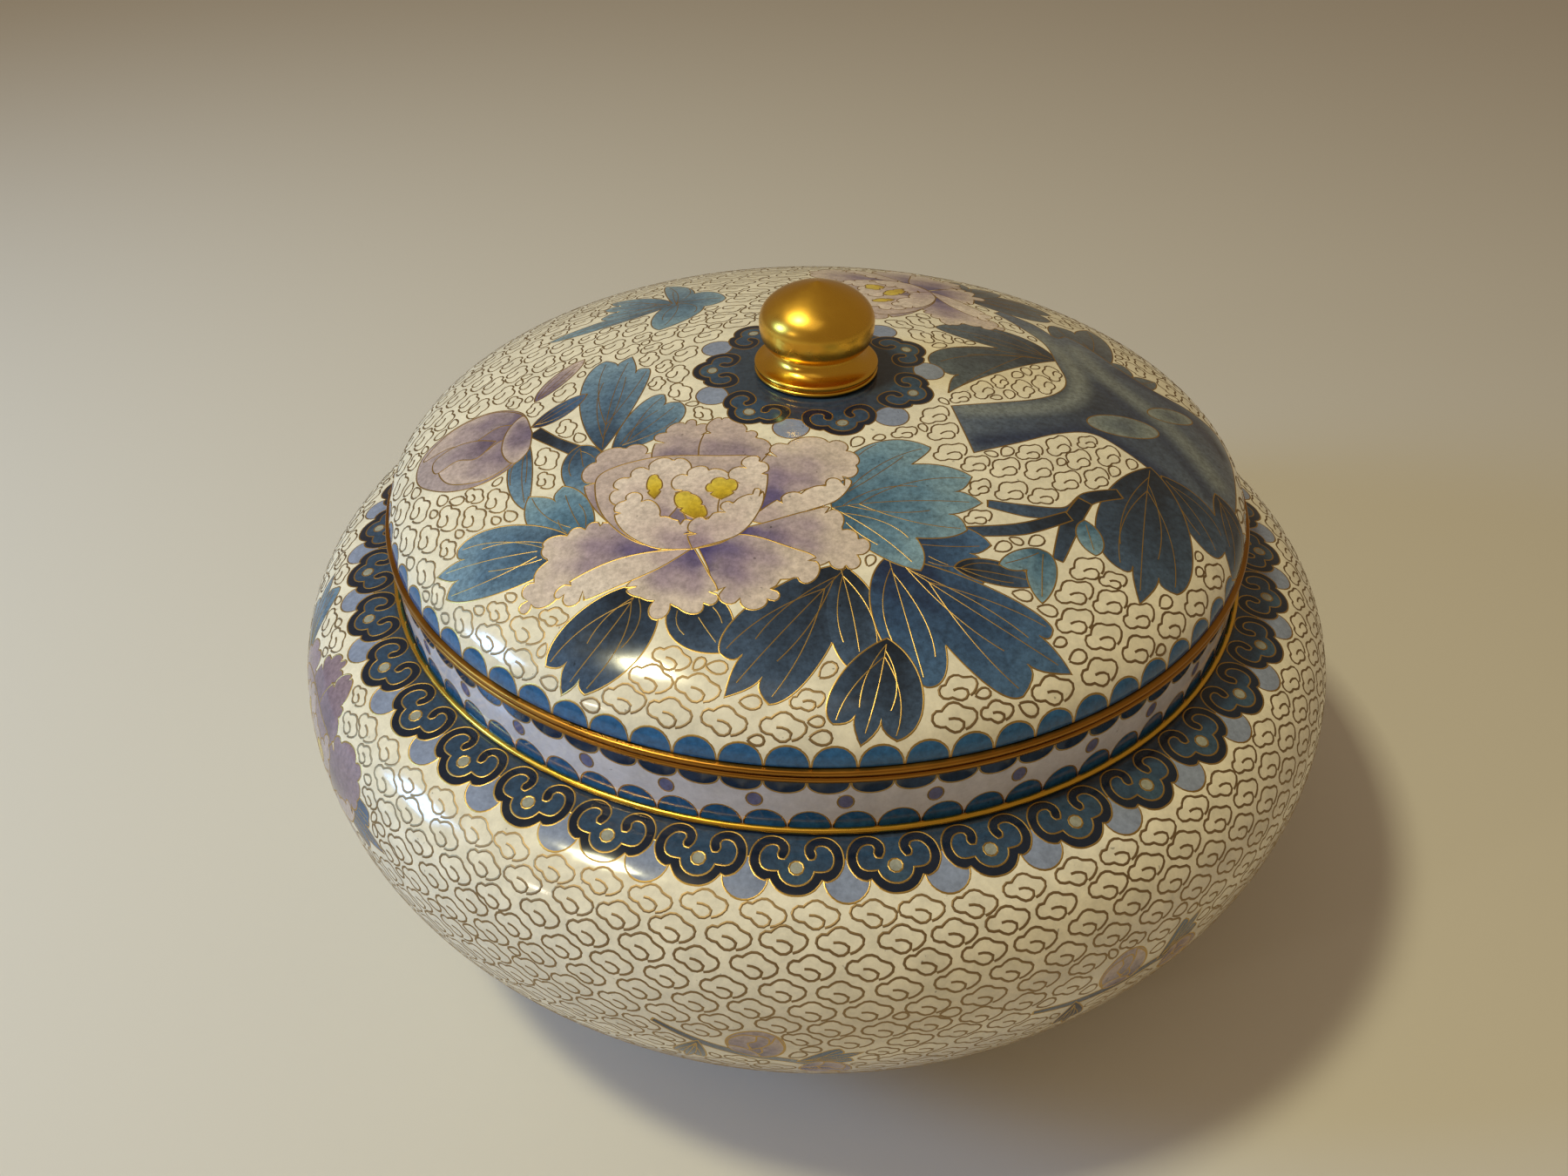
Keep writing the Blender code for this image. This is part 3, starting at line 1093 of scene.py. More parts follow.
# Enamels packed into each motif: deep near the base, body, and the paler rim
TONES = {
    "mid": ("33485F", "4F6D88", "7390A5"),
    "light": ("40627A", "5E8199", "7C9AA9"),
    "blue": ("202E4B", "2F4969", "48678A"),
    "dark": ("1C2633", "2E3D50", "435770"),
    "grey": ("2A333F", "424C58", "57636D"),
    "bark": ("303A4A", "475468", "5C6878"),
    "knot": ("5A646D", "747E7E", "878E8A"),
    "rose": ("484278", "9C8997", "D3C2B4"),
    "mauve": ("665A74", "8F7E8A", "C3B0A8"),
    "pale": ("A08B98", "C9B6AE", "DFCFC2"),
    "fold": ("B7A3A3", "D3C2B5", "E0D1C3"),
    "plum": ("4C4058", "6E5E70", "8E7C86"),
    "bud": ("64566C", "8B7A86", "AC9C9C"),
    "stamen": ("A8861E", "CDAE2C", "D9C04A"),
}

# A full flower seen from the side of its bowl, in millimetres from its heart:
# the outline's points, the first and last point of its lobed rim, lobes, and enamel
FLOWER = (
    (
        ((-13, -6), (-19, 2), (-21.5, 9), (-20, 17), (-15, 19.5), (-10, 18), (-7, 13), (-6, 4)),
        (2, 6), 6, "mauve",
    ),
    (((-3, 6), (-8, 13), (-8, 20), (-5, 25), (-1, 26), (3, 22), (4, 14)), (2, 5), 5, "mauve"),
    (
        ((3, 5), (1, 15), (2, 22), (5, 27), (9, 24), (12.5, 20), (15, 15), (14, 8), (10, 3)),
        (2, 7), 7, "mauve",
    ),
    (
        (
            (12, -3), (12, 7), (15, 14), (19, 17.5), (25, 18.5), (30, 16), (32.5, 11), (30, 6),
            (22, 3), (16, -1),
        ),
        (2, 7), 7, "rose",
    ),
    (
        ((11, -5), (17, 0.5), (23, 3), (29, 6), (31, 5), (28, 0), (22, -3), (16, -6)),
        (1, 3), 4, "fold",
    ),
    (
        (
            (7, -8), (15, -5.5), (22, -3), (27, -2), (29, -7), (33, -11), (30, -17), (25, -16),
            (20, -16), (14, -15),
        ),
        (3, 8), 8, "rose",
    ),
    (
        (
            (2, -11), (10, -8.5), (19, -12), (24, -15), (22, -20), (17, -19), (16, -24), (11, -25),
            (6, -22), (4, -16),
        ),
        (3, 8), 7, "rose",
    ),
    (
        (
            (1, -10.5), (4, -17), (6, -22), (3, -25.5), (-1, -24.5), (-5, -26), (-7.5, -21),
            (-11, -19.5), (-6, -14),
        ),
        (2, 7), 6, "rose",
    ),
    (
        (
            (-3, -10), (-10, -5), (-17, -2.5), (-22, -4), (-28, -6), (-27, -11), (-30, -16),
            (-30, -21), (-23, -19), (-13, -15),
        ),
        (2, 8), 10, "rose",
    ),
    (
        (
            (1, -11.3), (-8, -11.5), (-15, -13), (-22, -16.5), (-24, -19.5), (-19, -21), (-13, -19),
            (-5, -15.5),
        ),
        (3, 5), 2, "fold",
    ),
    (
        (
            (1, -11.5), (-9, -9), (-16, -2), (-19, 6), (-18, 12), (-8, 15), (5, 14), (12, 13),
            (14, 8), (14, 2), (12, -5), (7, -10),
        ),
        None, 0, "mauve",
    ),
    (
        (
            (-7, -6), (-13.5, 1), (-15.5, 6), (-12.5, 10), (-8, 13), (-3, 14), (-0.5, 10), (-1, 3),
            (-4, -3),
        ),
        (1, 7), 8, "pale",
    ),
    (((0, -5), (-3, 4), (-2.5, 8.5), (2, 10.5), (6, 9), (8, 5), (6, -2)), (1, 5), 4, "pale"),
    (
        ((6, -8), (5.5, 0), (7.5, 6), (9.5, 11), (13, 12.5), (14.8, 8), (14, 0), (11, -6)),
        (2, 5), 4, "pale",
    ),
    (((-7, 2.5), (-8.6, 5), (-8.2, 9), (-6.6, 9), (-5.8, 5)), (1, 4), 3, "stamen"),
    (((1.5, -4), (-2, -1), (-2.6, 3), (0, 3.5), (2.6, 0), (3.4, -3)), (1, 4), 3, "stamen"),
    (((6, 1), (3.6, 3), (3.6, 6), (6, 7), (8.4, 6), (8.6, 3)), (1, 5), 4, "stamen"),
    (
        (
            (1, -11.5), (-6, -10.5), (-12, -6), (-14.5, -0.5), (-12, 4), (-8.5, 2.5), (-6, -1),
            (-3.5, -4), (-1, -4), (1, -7),
        ),
        (3, 9), 7, "pale",
    ),
    (
        (
            (1, -11.5), (0, -7.5), (2, -4), (5, -3.5), (7, -0.5), (10, 1), (13.8, 3), (13.5, -2),
            (9.5, -8.5),
        ),
        (1, 6), 7, "pale",
    ),
)
# A closed bud one unit long from its base along x
BUD = (
    (
        (
            (0, 0), (0.1, 0.34), (0.35, 0.5), (0.65, 0.46), (0.92, 0.24), (1.0, 0), (0.93, -0.27),
            (0.65, -0.47), (0.35, -0.5), (0.1, -0.34),
        ),
        "bud",
    ),
    (
        (
            (0.02, 0.05), (0.12, 0.32), (0.36, 0.46), (0.66, 0.36), (0.78, 0.1), (0.6, 0.02),
            (0.42, 0.1), (0.25, 0.0),
        ),
        "mauve",
    ),
    (
        (
            (0.04, -0.12), (0.12, -0.34), (0.38, -0.49), (0.72, -0.42), (0.95, -0.14),
            (0.72, -0.16), (0.5, -0.1), (0.28, -0.22),
        ),
        "mauve",
    ),
    (
        (
            (0.3, -0.02), (0.45, 0.14), (0.62, 0.08), (0.8, 0.14), (0.84, -0.04), (0.68, -0.14),
            (0.48, -0.12),
        ),
        "bud",
    ),
    (((0, 0), (0.02, 0.24), (0.14, 0.36), (0.24, 0.16), (0.21, -0.12), (0.08, -0.28)), "mauve"),
)

# Grain of the frit in petals, which are finer than leaves
PETAL_GRAIN = 0.7


def tones(drawing, name, base, reach, grain=1.0):
    """The shaded enamel of one motif, from its base outwards."""
    shades = (linear(value) for value in TONES[name])
    return shaded_paint(drawing.place([base])[0], reach * drawing.scale, *shades, grain=grain)


def petal(drawing, points, rim, lobes, tone, depth=2.5):
    """A petal of a flower or a bud, shaded from its first point outwards."""
    reach = 0.9 * max(math.hypot(x - points[0][0], y - points[0][1]) for x, y in points)
    paint = tones(drawing, tone, points[0], reach, PETAL_GRAIN)
    drawing.cell(petal_shape(points, rim, lobes, depth), paint, fine=PETAL_PITCH)


def leaves(drawing, fingers, tone):
    """A leaf of fingers with no wire between them, each a base, left, tips and right."""
    group = LEAF_CELLS + len(drawing.outlines)
    veins = []
    for base, left, tips, right in fingers:
        outline, own = leaf_shape(base, left, tips, right)
        reach = max(math.hypot(x - base[0], y - base[1]) for x, y in tips)
        drawing.cell(outline, tones(drawing, tone, base, reach), group=group, fine=LEAF_PITCH)
        veins += own
    for vein in veins:
        drawing.vein(vein)


def sprig_leaf(drawing, base, tip, width, tone, lean=0.0):
    """A small three-toothed leaf of generic shape."""
    base, tip = np.array(base, float), np.array(tip, float)
    along = tip - base
    across = np.array((-along[1], along[0])) / math.hypot(*along)
    middle = base + 0.5 * along + lean * across
    side = 0.75 * along
    tips = (base + side + 0.42 * width * across, tip, base + side - 0.42 * width * across)
    half = 0.5 * width * across
    leaves(drawing, ((base, middle + half, tips, middle - half),), tone)


def limb(drawing, points, widths, tone="bark"):
    """A branch or twig along a line of points."""
    paint = tones(drawing, tone, points[0], 30.0)
    drawing.cell(limb_shape(points, widths), paint, fine=LIMB_PITCH)


def flower(drawing, shades=()):
    """A full peony-like flower; enamels named in shades are swapped for a darker one."""
    shades = dict(shades)
    for points, rim, lobes, tone in FLOWER:
        depth = 1.0 if tone == "stamen" else 2.5
        petal(drawing, points, rim, lobes, shades.get(tone, tone), depth)


def bud(drawing, base, heading, size):
    """A closed bud: the whole of it, then the petals folded over."""
    for points, tone in BUD:
        petal(drawing, rotated(np.array(points) * size, heading) + base, None, 0, tone)


# Leaves of the lid picture, in millimetres on the flattened lid, with +y to the back: for each
# finger its base, a point of its left side, the tips of its teeth and a point of its right side
LEAVES_BACK = (
    (
        (
            ((56, 13), (40, 16), ((28.5, 24),), (45, 26.5)),
            ((56, 13), (41, 3), ((28, -9), (25.5, 3)), (34, 14)),
        ),
        "grey",
    ),
    (
        (
            ((65, 10), (73, 27), ((70, 41.5), (60, 37)), (58, 26)),
            ((67, 5), (76, 7), ((81, 15), (74, 19)), (68, 16)),
        ),
        "grey",
    ),
    (
        (
            ((37, 50), (50, 39), ((60, 41), (61.5, 47)), (50, 56)),
            ((35, 49), (48, 55), ((48, 62), (40, 68)), (33, 60)),
        ),
        "grey",
    ),
    (
        (
            ((-35, 42), (-49, 32), ((-64.5, 28.5),), (-50, 37.5)),
            ((-35, 43), (-46, 37), ((-52.5, 39), (-53, 46), (-52, 52)), (-42, 51)),
            ((-34, 41), (-37.5, 52), ((-38.5, 62),), (-30, 52)),
            ((-34, 43), (-28, 51), ((-21.5, 43.5),), (-27, 38)),
            ((-34, 44), (-26.5, 37), ((-36.5, 24.5),), (-39, 34)),
        ),
        "light",
    ),
)
LEAVES_FRONT = (
    ((((-44, -27), (-51.5, -6), ((-47.5, 10.5), (-41.5, 11), (-37, 4)), (-38, -9)),), "mid"),
    ((((-42, -28), (-39, -14), ((-32.5, -8.5), (-29, -12)), (-30, -22)),), "mid"),
    ((((-61, -14), (-56.5, -7), ((-50, -4),), (-54.5, -12.5)),), "blue"),
    ((((-62, -3.5), (-60, 6), ((-53, 13.5),), (-55.5, 4)),), "mauve"),
    ((((-61, -19), (-63.8, -30), ((-57.8, -42),), (-58.2, -30)),), "mid"),
    ((((-49, -24), (-51.8, -33), ((-45, -42),), (-43, -30)),), "mid"),
    ((((-44, -52), (-54.5, -50), ((-57.8, -38), (-51, -36.5)), (-44.5, -43)),), "light"),
    (
        (((-45, -54), (-58, -61.5), ((-73, -59.5), (-75.8, -53.5), (-71.5, -48.5)), (-59, -45.5)),),
        "mid",
    ),
    (
        (((-33, -65), (-30.5, -77), ((-43, -85.5), (-47.7, -84.8), (-50.5, -79)), (-44, -69)),),
        "dark",
    ),
    ((((-25, -67), (-27.5, -76), ((-17.5, -80.5),), (-17, -71)),), "dark"),
    ((((12, -56), (22, -67), ((30.5, -62), (31.5, -56)), (22, -51)),), "blue"),
    ((((24, -62), (31, -59.5), ((40, -64),), (32, -65.5)),), "dark"),
    (
        (
            ((5, -62), (-11, -69), ((-18.3, -80.5), (-17.5, -88.7), (-9.8, -90.3)), (1, -80)),
            ((3, -62), (0.6, -76), ((6.3, -84.8),), (10.5, -74)),
        ),
        "dark",
    ),
    (
        (
            ((12, -60), (8.5, -74), ((17.5, -87),), (21, -77)),
            ((12, -60), (22, -80), ((35, -87), (44.3, -81.8), (41.2, -73.8)), (30, -66)),
        ),
        "blue",
    ),
    ((((11, -78), (2, -86), ((1.2, -93.8), (6, -97.4), (12.3, -96.4)), (17, -88)),), "dark"),
    (
        (
            ((2, -48), (6.5, -57), ((17.8, -63.2),), (15, -52)),
            ((2, -48), (7.5, -31), ((22.3, -29.3),), (15, -38)),
            ((2, -48), (14, -36), ((29.8, -37.6), (31, -45), (27.3, -52.6)), (14, -55)),
        ),
        "light",
    ),
    ((((51, -46.5), (48.6, -51), ((51.8, -55.5),), (54, -51)),), "light"),
    (
        (
            ((41.5, -56), (36.5, -56.5), ((32.5, -60.5),), (38, -61)),
            ((41.5, -56), (37.5, -61), ((39.7, -68.5),), (43.5, -61)),
        ),
        "light",
    ),
)

TRUNK = (
    (28, -14), (38, -11), (47, -7.5), (53, -3), (56, 3), (55.5, 12), (54.5, 22), (50, 31), (45, 39),
    (47, 41), (54, 35), (58.5, 28), (62, 30), (67, 24), (72, 16), (79, 9), (88, 5), (94, 0),
    (94.5, -10), (92, -22), (88, -34), (83, -43), (77, -38), (72, -31), (65, -23), (58, -18),
    (50, -20), (41, -25), (31, -30),
)
TRUNK_LEAVES = (
    (
        (
            ((84, -28), (82, -40), ((85.5, -50),), (92, -38)),
            ((71, -28), (73, -42), ((80.5, -47.5),), (82.5, -36)),
        ),
        "dark",
    ),
    ((((69, -26), (54.5, -42), ((56, -57.5), (59.3, -65), (68, -60.5)), (74, -45)),), "dark"),
)
# Soft strokes of lighter and darker enamel in the bark: points, width and colour
BARK_STROKES = (
    (((31, -15), (44, -12), (55, -6), (59, 4), (58, 16), (53, 28)), 9.0, "7A8283"),
    (((33, -26), (45, -22), (58, -18), (70, -27), (80, -38)), 9.0, "2A3650"),
    (((62, 22), (67, 8), (78, -8), (86, -24)), 10.0, "747D80"),
    (((64, 4), (70, -6), (76, -16), (82, -30)), 6.0, "333F55"),
    (((72, 14), (84, 3), (92, -10)), 8.0, "303C54"),
    (((46, 34), (50, 24), (52, 12)), 6.0, "364156"),
)
TWIGS = (
    (((60, -37), (53, -40), (48, -45), (40, -46), (32, -45)), (2.6, 3.2, 3.0, 3.4, 2.0)),
    (((52, -41), (48, -48), (44, -58)), (3.0, 3.8, 2.0)),
    (((48, -46), (38, -51), (27, -53)), (2.4, 3.0, 2.4)),
    (((-60, -16), (-55, -21), (-49, -26)), (3.4, 2.8, 3.4)),
)

# One ruyi head: the dark band's outline down its right side, in millimetres across and outwards
HEAD_OUTER = (
    (0.0, 12.7), (1.8, 12.45), (3.4, 11.5), (4.35, 10.2), (4.5, 9.95), (5.3, 10.25), (6.9, 9.5),
    (8.0, 7.6), (8.1, 5.8), (7.5, 3.7), (6.0, 2.0), (4.2, 1.5), (2.5, 2.0), (1.4, 3.4), (1.45, 5.0),
    (2.1, 6.1),
)
HEAD_INNER = (
    (3.0, 6.0), (3.35, 5.1), (3.05, 4.2), (3.3, 3.55), (4.2, 3.3), (5.3, 3.7), (6.2, 5.0),
    (6.4, 6.4), (6.0, 7.7), (4.9, 8.35), (3.1, 8.35), (2.64, 9.6), (1.5, 10.6), (0.0, 10.95),
)

# Corners of that band, counted along the outer and then the inner outline; how far the strip
# behind the heads reaches, and the middle, width and height of the lobes, in millimetres
HEAD_CORNERS = (4, 15, 26)
HEAD_STRIP = 6.3
LOBE_MIDDLE, LOBE_SIZE = 10.0, 7.9
EYE_MIDDLE, EYE_SIZE = 7.7, 2.6

# The bowl's drawing is unrolled at this radius, and round edges have this many corners
WHEEL = 110.0
ROUND_STEPS = 330

# Scallops and beads: half the width and the height of a tooth, the azimuth of the first in
# degrees, and how many there are
LOW_TEETH = (3.85, 4.9, -91.55, 76)
HIGH_TEETH = (3.65, 2.7, -89.67, 80)
LID_TEETH = (3.85, 4.05, -91.54)
BEAD_SIZE, BEADS_AT, FIRST_BEAD, BEADS = (2.9, 3.4), -7.4, -97.34, 38

# Motifs of the bowl: azimuth in degrees and arc length, scale, and turn in degrees
BODY_FLOWERS = (((-153.5, 38.0), 0.88, 0.0), ((58.0, 44.0), 0.88, -25.0))
BODY_BUDS = (
    ((-97.0, 46.0), 0.8, 0.0), ((-64.0, 42.0), 0.8, 20.0),
    ((-20.0, 50.0), 0.8, -15.0), ((118.0, 50.0), 0.8, 10.0),
)
BODY_SHADES = {"rose": "plum", "pale": "bud", "mauve": "plum", "fold": "mauve"}
# Leaves round a flower of the bowl: base, tip, width, enamel and lean
FLOWER_SPRIGS = (
    ((16, 6), (45, 4), 11, "blue", 1.0),
    ((-18, 12), (-40, 24), 12, "mid", -1.0),
    ((-12, -18), (-30, -40), 13, "dark", 1.5),
    ((4, -20), (6, -46), 14, "blue", -1.0),
    ((18, -16), (38, -32), 12, "dark", 1.0),
)


def mirrored(points):
    """The points on the other side of the middle line."""
    return [(-x, y) for x, y in points]


def ring_of(drawing, shape, paint, s, first, count, shift=0.0):
    """Repeat a cell round the axis at the arc length s, shifted on from the first azimuth.

    The first azimuth is in degrees, and the shift is a count of cells.
    """
    for index in range(count):
        azimuth = math.radians(first + (index + shift) * 360.0 / count)
        drawing.cell(drawing.surface.near(azimuth, s, shape), paint)


def ruyi_heads(drawing, colours, count, first, start, wide=1.0, tall=1.0):
    """A ring of ruyi heads from the arc length start, with lobes between them and a strip above."""
    surface = drawing.surface
    pitch = 360.0 / count
    group = RUYI_CELLS + int(start * 10)

    def near(angle, points):
        shape = np.array(points, float) * (wide, tall)
        return surface.near(math.radians(angle), start, shape)

    end = start + HEAD_STRIP * tall
    if surface.wheel:
        edge = surface.half + 3.0
        strip = [(-edge, start), (edge, start), (edge, end), (-edge, end)]
    else:
        strip = oval((0.0, 0.0), 2 * end, 2 * end, step=2.0)
    drawing.cell(strip, flat_paint(linear("324051"), 0.8), group=group)
    lobe = oval((0, LOBE_MIDDLE), LOBE_SIZE, LOBE_SIZE, step=1.0)
    for index in range(count):
        angle = first + (index + 0.5) * pitch
        drawing.cell(near(angle, lobe), flat_paint(tuple(colours.lobe), 0.5))
    outer = list(HEAD_OUTER[:-3])
    ring = outer + mirrored(outer)[::-1]
    head = spline(ring[:-1], sharp=(4, len(ring) - 6), step=0.9)
    right = list(HEAD_OUTER + HEAD_INNER)
    far_corners = (2 * len(right) - 2 - at for at in HEAD_CORNERS)
    band = spline(right + mirrored(right)[-2:0:-1], sharp=(*HEAD_CORNERS, *far_corners), step=0.9)
    eye = oval((0.0, EYE_MIDDLE), EYE_SIZE, EYE_SIZE, step=0.8)
    for index in range(count):
        angle = first + index * pitch
        middle = near(angle, [(0.0, 9.5)])[0]
        inner = shaded_paint(middle, 8.0, linear("3B5468"), tuple(colours.slate), grain=0.9)
        drawing.cell(near(angle, head), inner, group=group)
        drawing.cell(near(angle, band), flat_paint(tuple(colours.navy), 0.5))
        drawing.cell(near(angle, eye), flat_paint(linear("9C9D90"), 0.6))


def jar_drawing(colours, sizes):
    """Enamel picture of the bowl and its neck."""
    levels = NECK_TOP - np.linspace(0, 1, 12)[:-1] * (NECK_TOP - SHOULDER)
    neck = [(NECK_RADIUS, level) for level in levels]
    profile = np.vstack((neck, shoulder_curve(160), underside_curve(240)[1:]))
    surface = Turned(profile, start=SHOULDER - NECK_TOP, wheel=WHEEL)
    drawing = Drawing(surface)
    half, rim, foot = surface.half, surface.start, surface.end

    def strip(low, high):
        """Outline of a strip right round the drawing between two arc lengths."""
        levels = np.linspace(low, high, max(2, int((high - low) / 2.4)))[1:-1]
        across = np.linspace(-half, half, ROUND_STEPS)
        return np.vstack(
            (
                np.column_stack((across, np.full(ROUND_STEPS, low))),
                np.column_stack((np.full(len(levels), half), levels)),
                np.column_stack((across[::-1], np.full(ROUND_STEPS, high))),
                np.column_stack((np.full(len(levels), -half), levels[::-1])),
            )
        )

    drawing.cell(strip(0.0, foot), flat_paint(tuple(colours.cream), 0.22), ground=True)
    drawing.cell(strip(rim, 0.0), flat_paint(tuple(colours.neck), 0.2), ground=True)

    # Scallops and beads of the neck, and the heads below it
    *size, first, count = LOW_TEETH
    tooth = np.clip(scallop(*size), (-9, -9), (9, 0.0))
    ring_of(drawing, tooth, flat_paint(tuple(colours.scallop), 0.9), 0.0, first, count)
    *size, first, count = HIGH_TEETH
    tooth = scallop(*size) * (1.0, -1.0)
    ring_of(drawing, tooth, flat_paint(linear("1C3350"), 0.9), rim, first, count)
    bead = oval((0, 0), *BEAD_SIZE)
    ring_of(drawing, bead, flat_paint(tuple(colours.bead), 0.7), BEADS_AT, FIRST_BEAD, BEADS)
    ruyi_heads(drawing, colours, sizes.heads, -92.75, 0.0)

    # Flowers at the left and round the back, buds and twigs under the front
    for place in BODY_FLOWERS:
        drawing.at(*place)
        for sprig in FLOWER_SPRIGS:
            sprig_leaf(drawing, *sprig)
        flower(drawing, BODY_SHADES)
    for place in BODY_BUDS:
        drawing.at(*place)
        limb(drawing, ((-20, 6), (-10, 0), (0, -4), (12, -7), (22, -14)), (1.4, 2.4, 3.0, 2.6, 1.6))
        sprig_leaf(drawing, (12, -7), (27, -1), 8, "blue")
        sprig_leaf(drawing, (-10, 0), (-14, -14), 7, "dark")
        bud(drawing, (0, -4), 60.0, 13.0)
        bud(drawing, (14, -9), -40.0, 12.0)
    return drawing


def lid_drawing(colours, sizes):
    """Enamel picture of the lid."""
    top = [(radius, LID_TOP) for radius in np.linspace(0.0, KNOB_SEAT, 8)[:-1]]
    surface = Turned(np.vstack((top, dome_curve(240))))
    drawing = Drawing(surface)
    edge = surface.end
    angle = np.linspace(0.0, math.tau, ROUND_STEPS, endpoint=False)
    disc = np.column_stack((edge * np.cos(angle), edge * np.sin(angle)))
    drawing.cell(disc, flat_paint(tuple(colours.cream), 0.22), ground=True)
    *size, first = LID_TEETH
    tooth = np.clip(scallop(*size), (-9, -9), (9, 0.6))
    blue = flat_paint(tuple(colours.scallop), 0.9)
    ring_of(drawing, tooth, blue, edge, first, sizes.lid_scallops, -6.5)

    def lid_flower(x, y, scale, turn):
        drawing.at((x, y), scale, turn)
        flower(drawing)
        drawing.at()

    # Back of the lid, then the branch, then the front
    for fingers, tone in LEAVES_BACK:
        leaves(drawing, fingers, tone)
    lid_flower(21.0, 48.0, 0.86, 105.0)
    bark = streaked_paint(tones(drawing, "bark", (60, -5), 40.0), BARK_STROKES)
    drawing.cell(spline(TRUNK, sharp=(0, 8, 9, 28), step=1.0), bark, fine=TRUNK_PITCH)
    # Knots of the bark: where each is, its size and turn, and where its enamel is shaded from
    for knot, size, base, reach in (
        ((66, -12.5), (17.0, 8.0, 8.0), (66, -12), 9.0),
        ((80, -2), (13.0, 6.0, 20.0), (80, -2), 7.0),
    ):
        drawing.cell(oval(knot, *size), tones(drawing, "knot", base, reach), fine=LEAF_PITCH)
    for fingers, tone in TRUNK_LEAVES:
        leaves(drawing, fingers, tone)
    for points, widths in TWIGS:
        limb(drawing, points, widths, "dark")
    for fingers, tone in LEAVES_FRONT:
        leaves(drawing, fingers, tone)
    bud(drawing, (-60.5, -16), 187.0, 27.0)
    lid_flower(-25.0, -46.0, 1.0, 0.0)
    ruyi_heads(drawing, colours, 7, -77.5, 16.0, 0.97, 0.86)
    return drawing


# Materials


def add_node(tree, kind, settings=(), values=(), links=()):
    """Add a node with its settings, its socket values and its incoming links."""
    node = tree.nodes.new(kind)
    for name, value in dict(settings).items():
        setattr(node, name, value)
    for socket, value in dict(values).items():
        node.inputs[socket].default_value = value
    for socket, source in dict(links).items():
        tree.links.new(source, node.inputs[socket])
    return node


def new_material(name):
    """An empty material with its tree, Principled shader and object coordinates in metres."""
    material = bpy.data.materials.new(name)
    material.use_nodes = True
    tree = material.node_tree
    shader = tree.nodes["Principled BSDF"]
    place = add_node(tree, "ShaderNodeTexCoord").outputs["Object"]
    return material, tree, shader, place


def per_mm(size):
    """Texture scale that gives features of this size in millimetres."""
    return 1.0 / (size * MM)


def kiln_enamel():
    """Vitreous enamel, wet-packed as coloured frit, fired, then ground and polished flush.

    The eye sees one smooth gloss over colour that is cloudy where the frit was packed by hand,
    a grain of half-melted frit in the strong colours, and a few pin holes left by bubbles.
    """
    material, tree, shader, place = new_material("kiln_fired_enamel")
    glaze = add_node(tree, "ShaderNodeAttribute", {"attribute_name": "glaze"})

    # Each noise with the size of its features in millimetres, its detail and its roughness
    noises = {}
    for use, size, detail, roughness in (
        ("packing", 5.0, 3.0, 0.5),
        ("frit", 1.1, 4.0, 0.7),
        ("bubbles", 1.3, 1.0, 0.5),
        ("polish", 3.5, 2.0, 0.5),
    ):
        noise = add_node(
            tree, "ShaderNodeTexNoise", links={"Vector": place},
            values={"Scale": per_mm(size), "Detail": detail, "Roughness": roughness},
        )
        noises[use] = noise.outputs["Fac"]

    # What each noise does: its range, and what that range is turned into
    effects = {}
    for effect, use, low, high, least, most in (
        ("pin holes", "bubbles", 0.76, 0.80, 0.0, 0.45),
        ("clouding", "packing", 0.3, 0.7, -0.09, 0.09),
        ("grain", "frit", 0.32, 0.68, -0.34, 0.34),
        ("roughness", "packing", 0.3, 0.7, 0.09, 0.16),
    ):
        spread = add_node(
            tree, "ShaderNodeMapRange", links={"Value": noises[use]},
            values={"From Min": low, "From Max": high, "To Min": least, "To Max": most},
        )
        effects[effect] = spread.outputs["Result"]

    level = effects["grain"]
    for operation, other in (
        ("MULTIPLY", glaze.outputs["Alpha"]),
        ("ADD", effects["clouding"]),
        ("SUBTRACT", effects["pin holes"]),
    ):
        settings = {"operation": operation}
        step = add_node(tree, "ShaderNodeMath", settings, links={0: level, 1: other})
        level = step.outputs[0]
    level = add_node(tree, "ShaderNodeMath", {"operation": "ADD"}, {1: 1.0}, {0: level})
    colour = add_node(
        tree, "ShaderNodeVectorMath", {"operation": "SCALE"},
        links={0: glaze.outputs["Color"], "Scale": level.outputs[0]},
    )
    tree.links.new(colour.outputs[0], shader.inputs["Base Color"])
    tree.links.new(effects["roughness"], shader.inputs["Roughness"])
    bump = add_node(
        tree, "ShaderNodeBump", values={"Strength": 0.12, "Distance": 0.05 * MM},
        links={"Height": noises["polish"]},
    )
    tree.links.new(bump.outputs[0], shader.inputs["Normal"])
    shader.inputs["IOR"].default_value = 1.52
    return material


def worn_metal(name, colour, low, patch, detail):
    """A metal whose colour falls to a share of itself in patches of a size in millimetres."""
    material, tree, shader, place = new_material(name)
    patches = add_node(
        tree, "ShaderNodeTexNoise", values={"Scale": per_mm(patch), "Detail": detail},
        links={"Vector": place},
    )
    blend = add_node(
        tree, "ShaderNodeMix", {"data_type": "RGBA"},
        {6: (*(low * part for part in colour), 1.0), 7: (*colour, 1.0)},
        {0: patches.outputs["Fac"]},
    )
    tree.links.new(blend.outputs[2], shader.inputs["Base Color"])
    shader.inputs["Metallic"].default_value = 1.0
    return material, tree, shader, place, patches.outputs["Fac"]


def ground_wire(name, colour, low, roughness):
    """Copper wire soldered on edge and ground flush, its gilding worn thin in patches."""
    material, _, shader, _, _ = worn_metal(name, colour, low, 6.0, 3.0)
    shader.inputs["Roughness"].default_value = roughness
    return material


def gilt_wire(colour):
    """Wire of the motifs: bright gold on top."""
    return ground_wire("gilt_copper_wire", colour, 0.70, 0.42)


def cloud_wire_painted_dark_reflection(colour):
    """Wire of the clouds: browner, its brown a painted reflection of a dark room, and gold only
    where a light is mirrored.
    """
    return ground_wire("cloud_wire_with_painted_dark_reflection", colour, 0.72, 0.52)


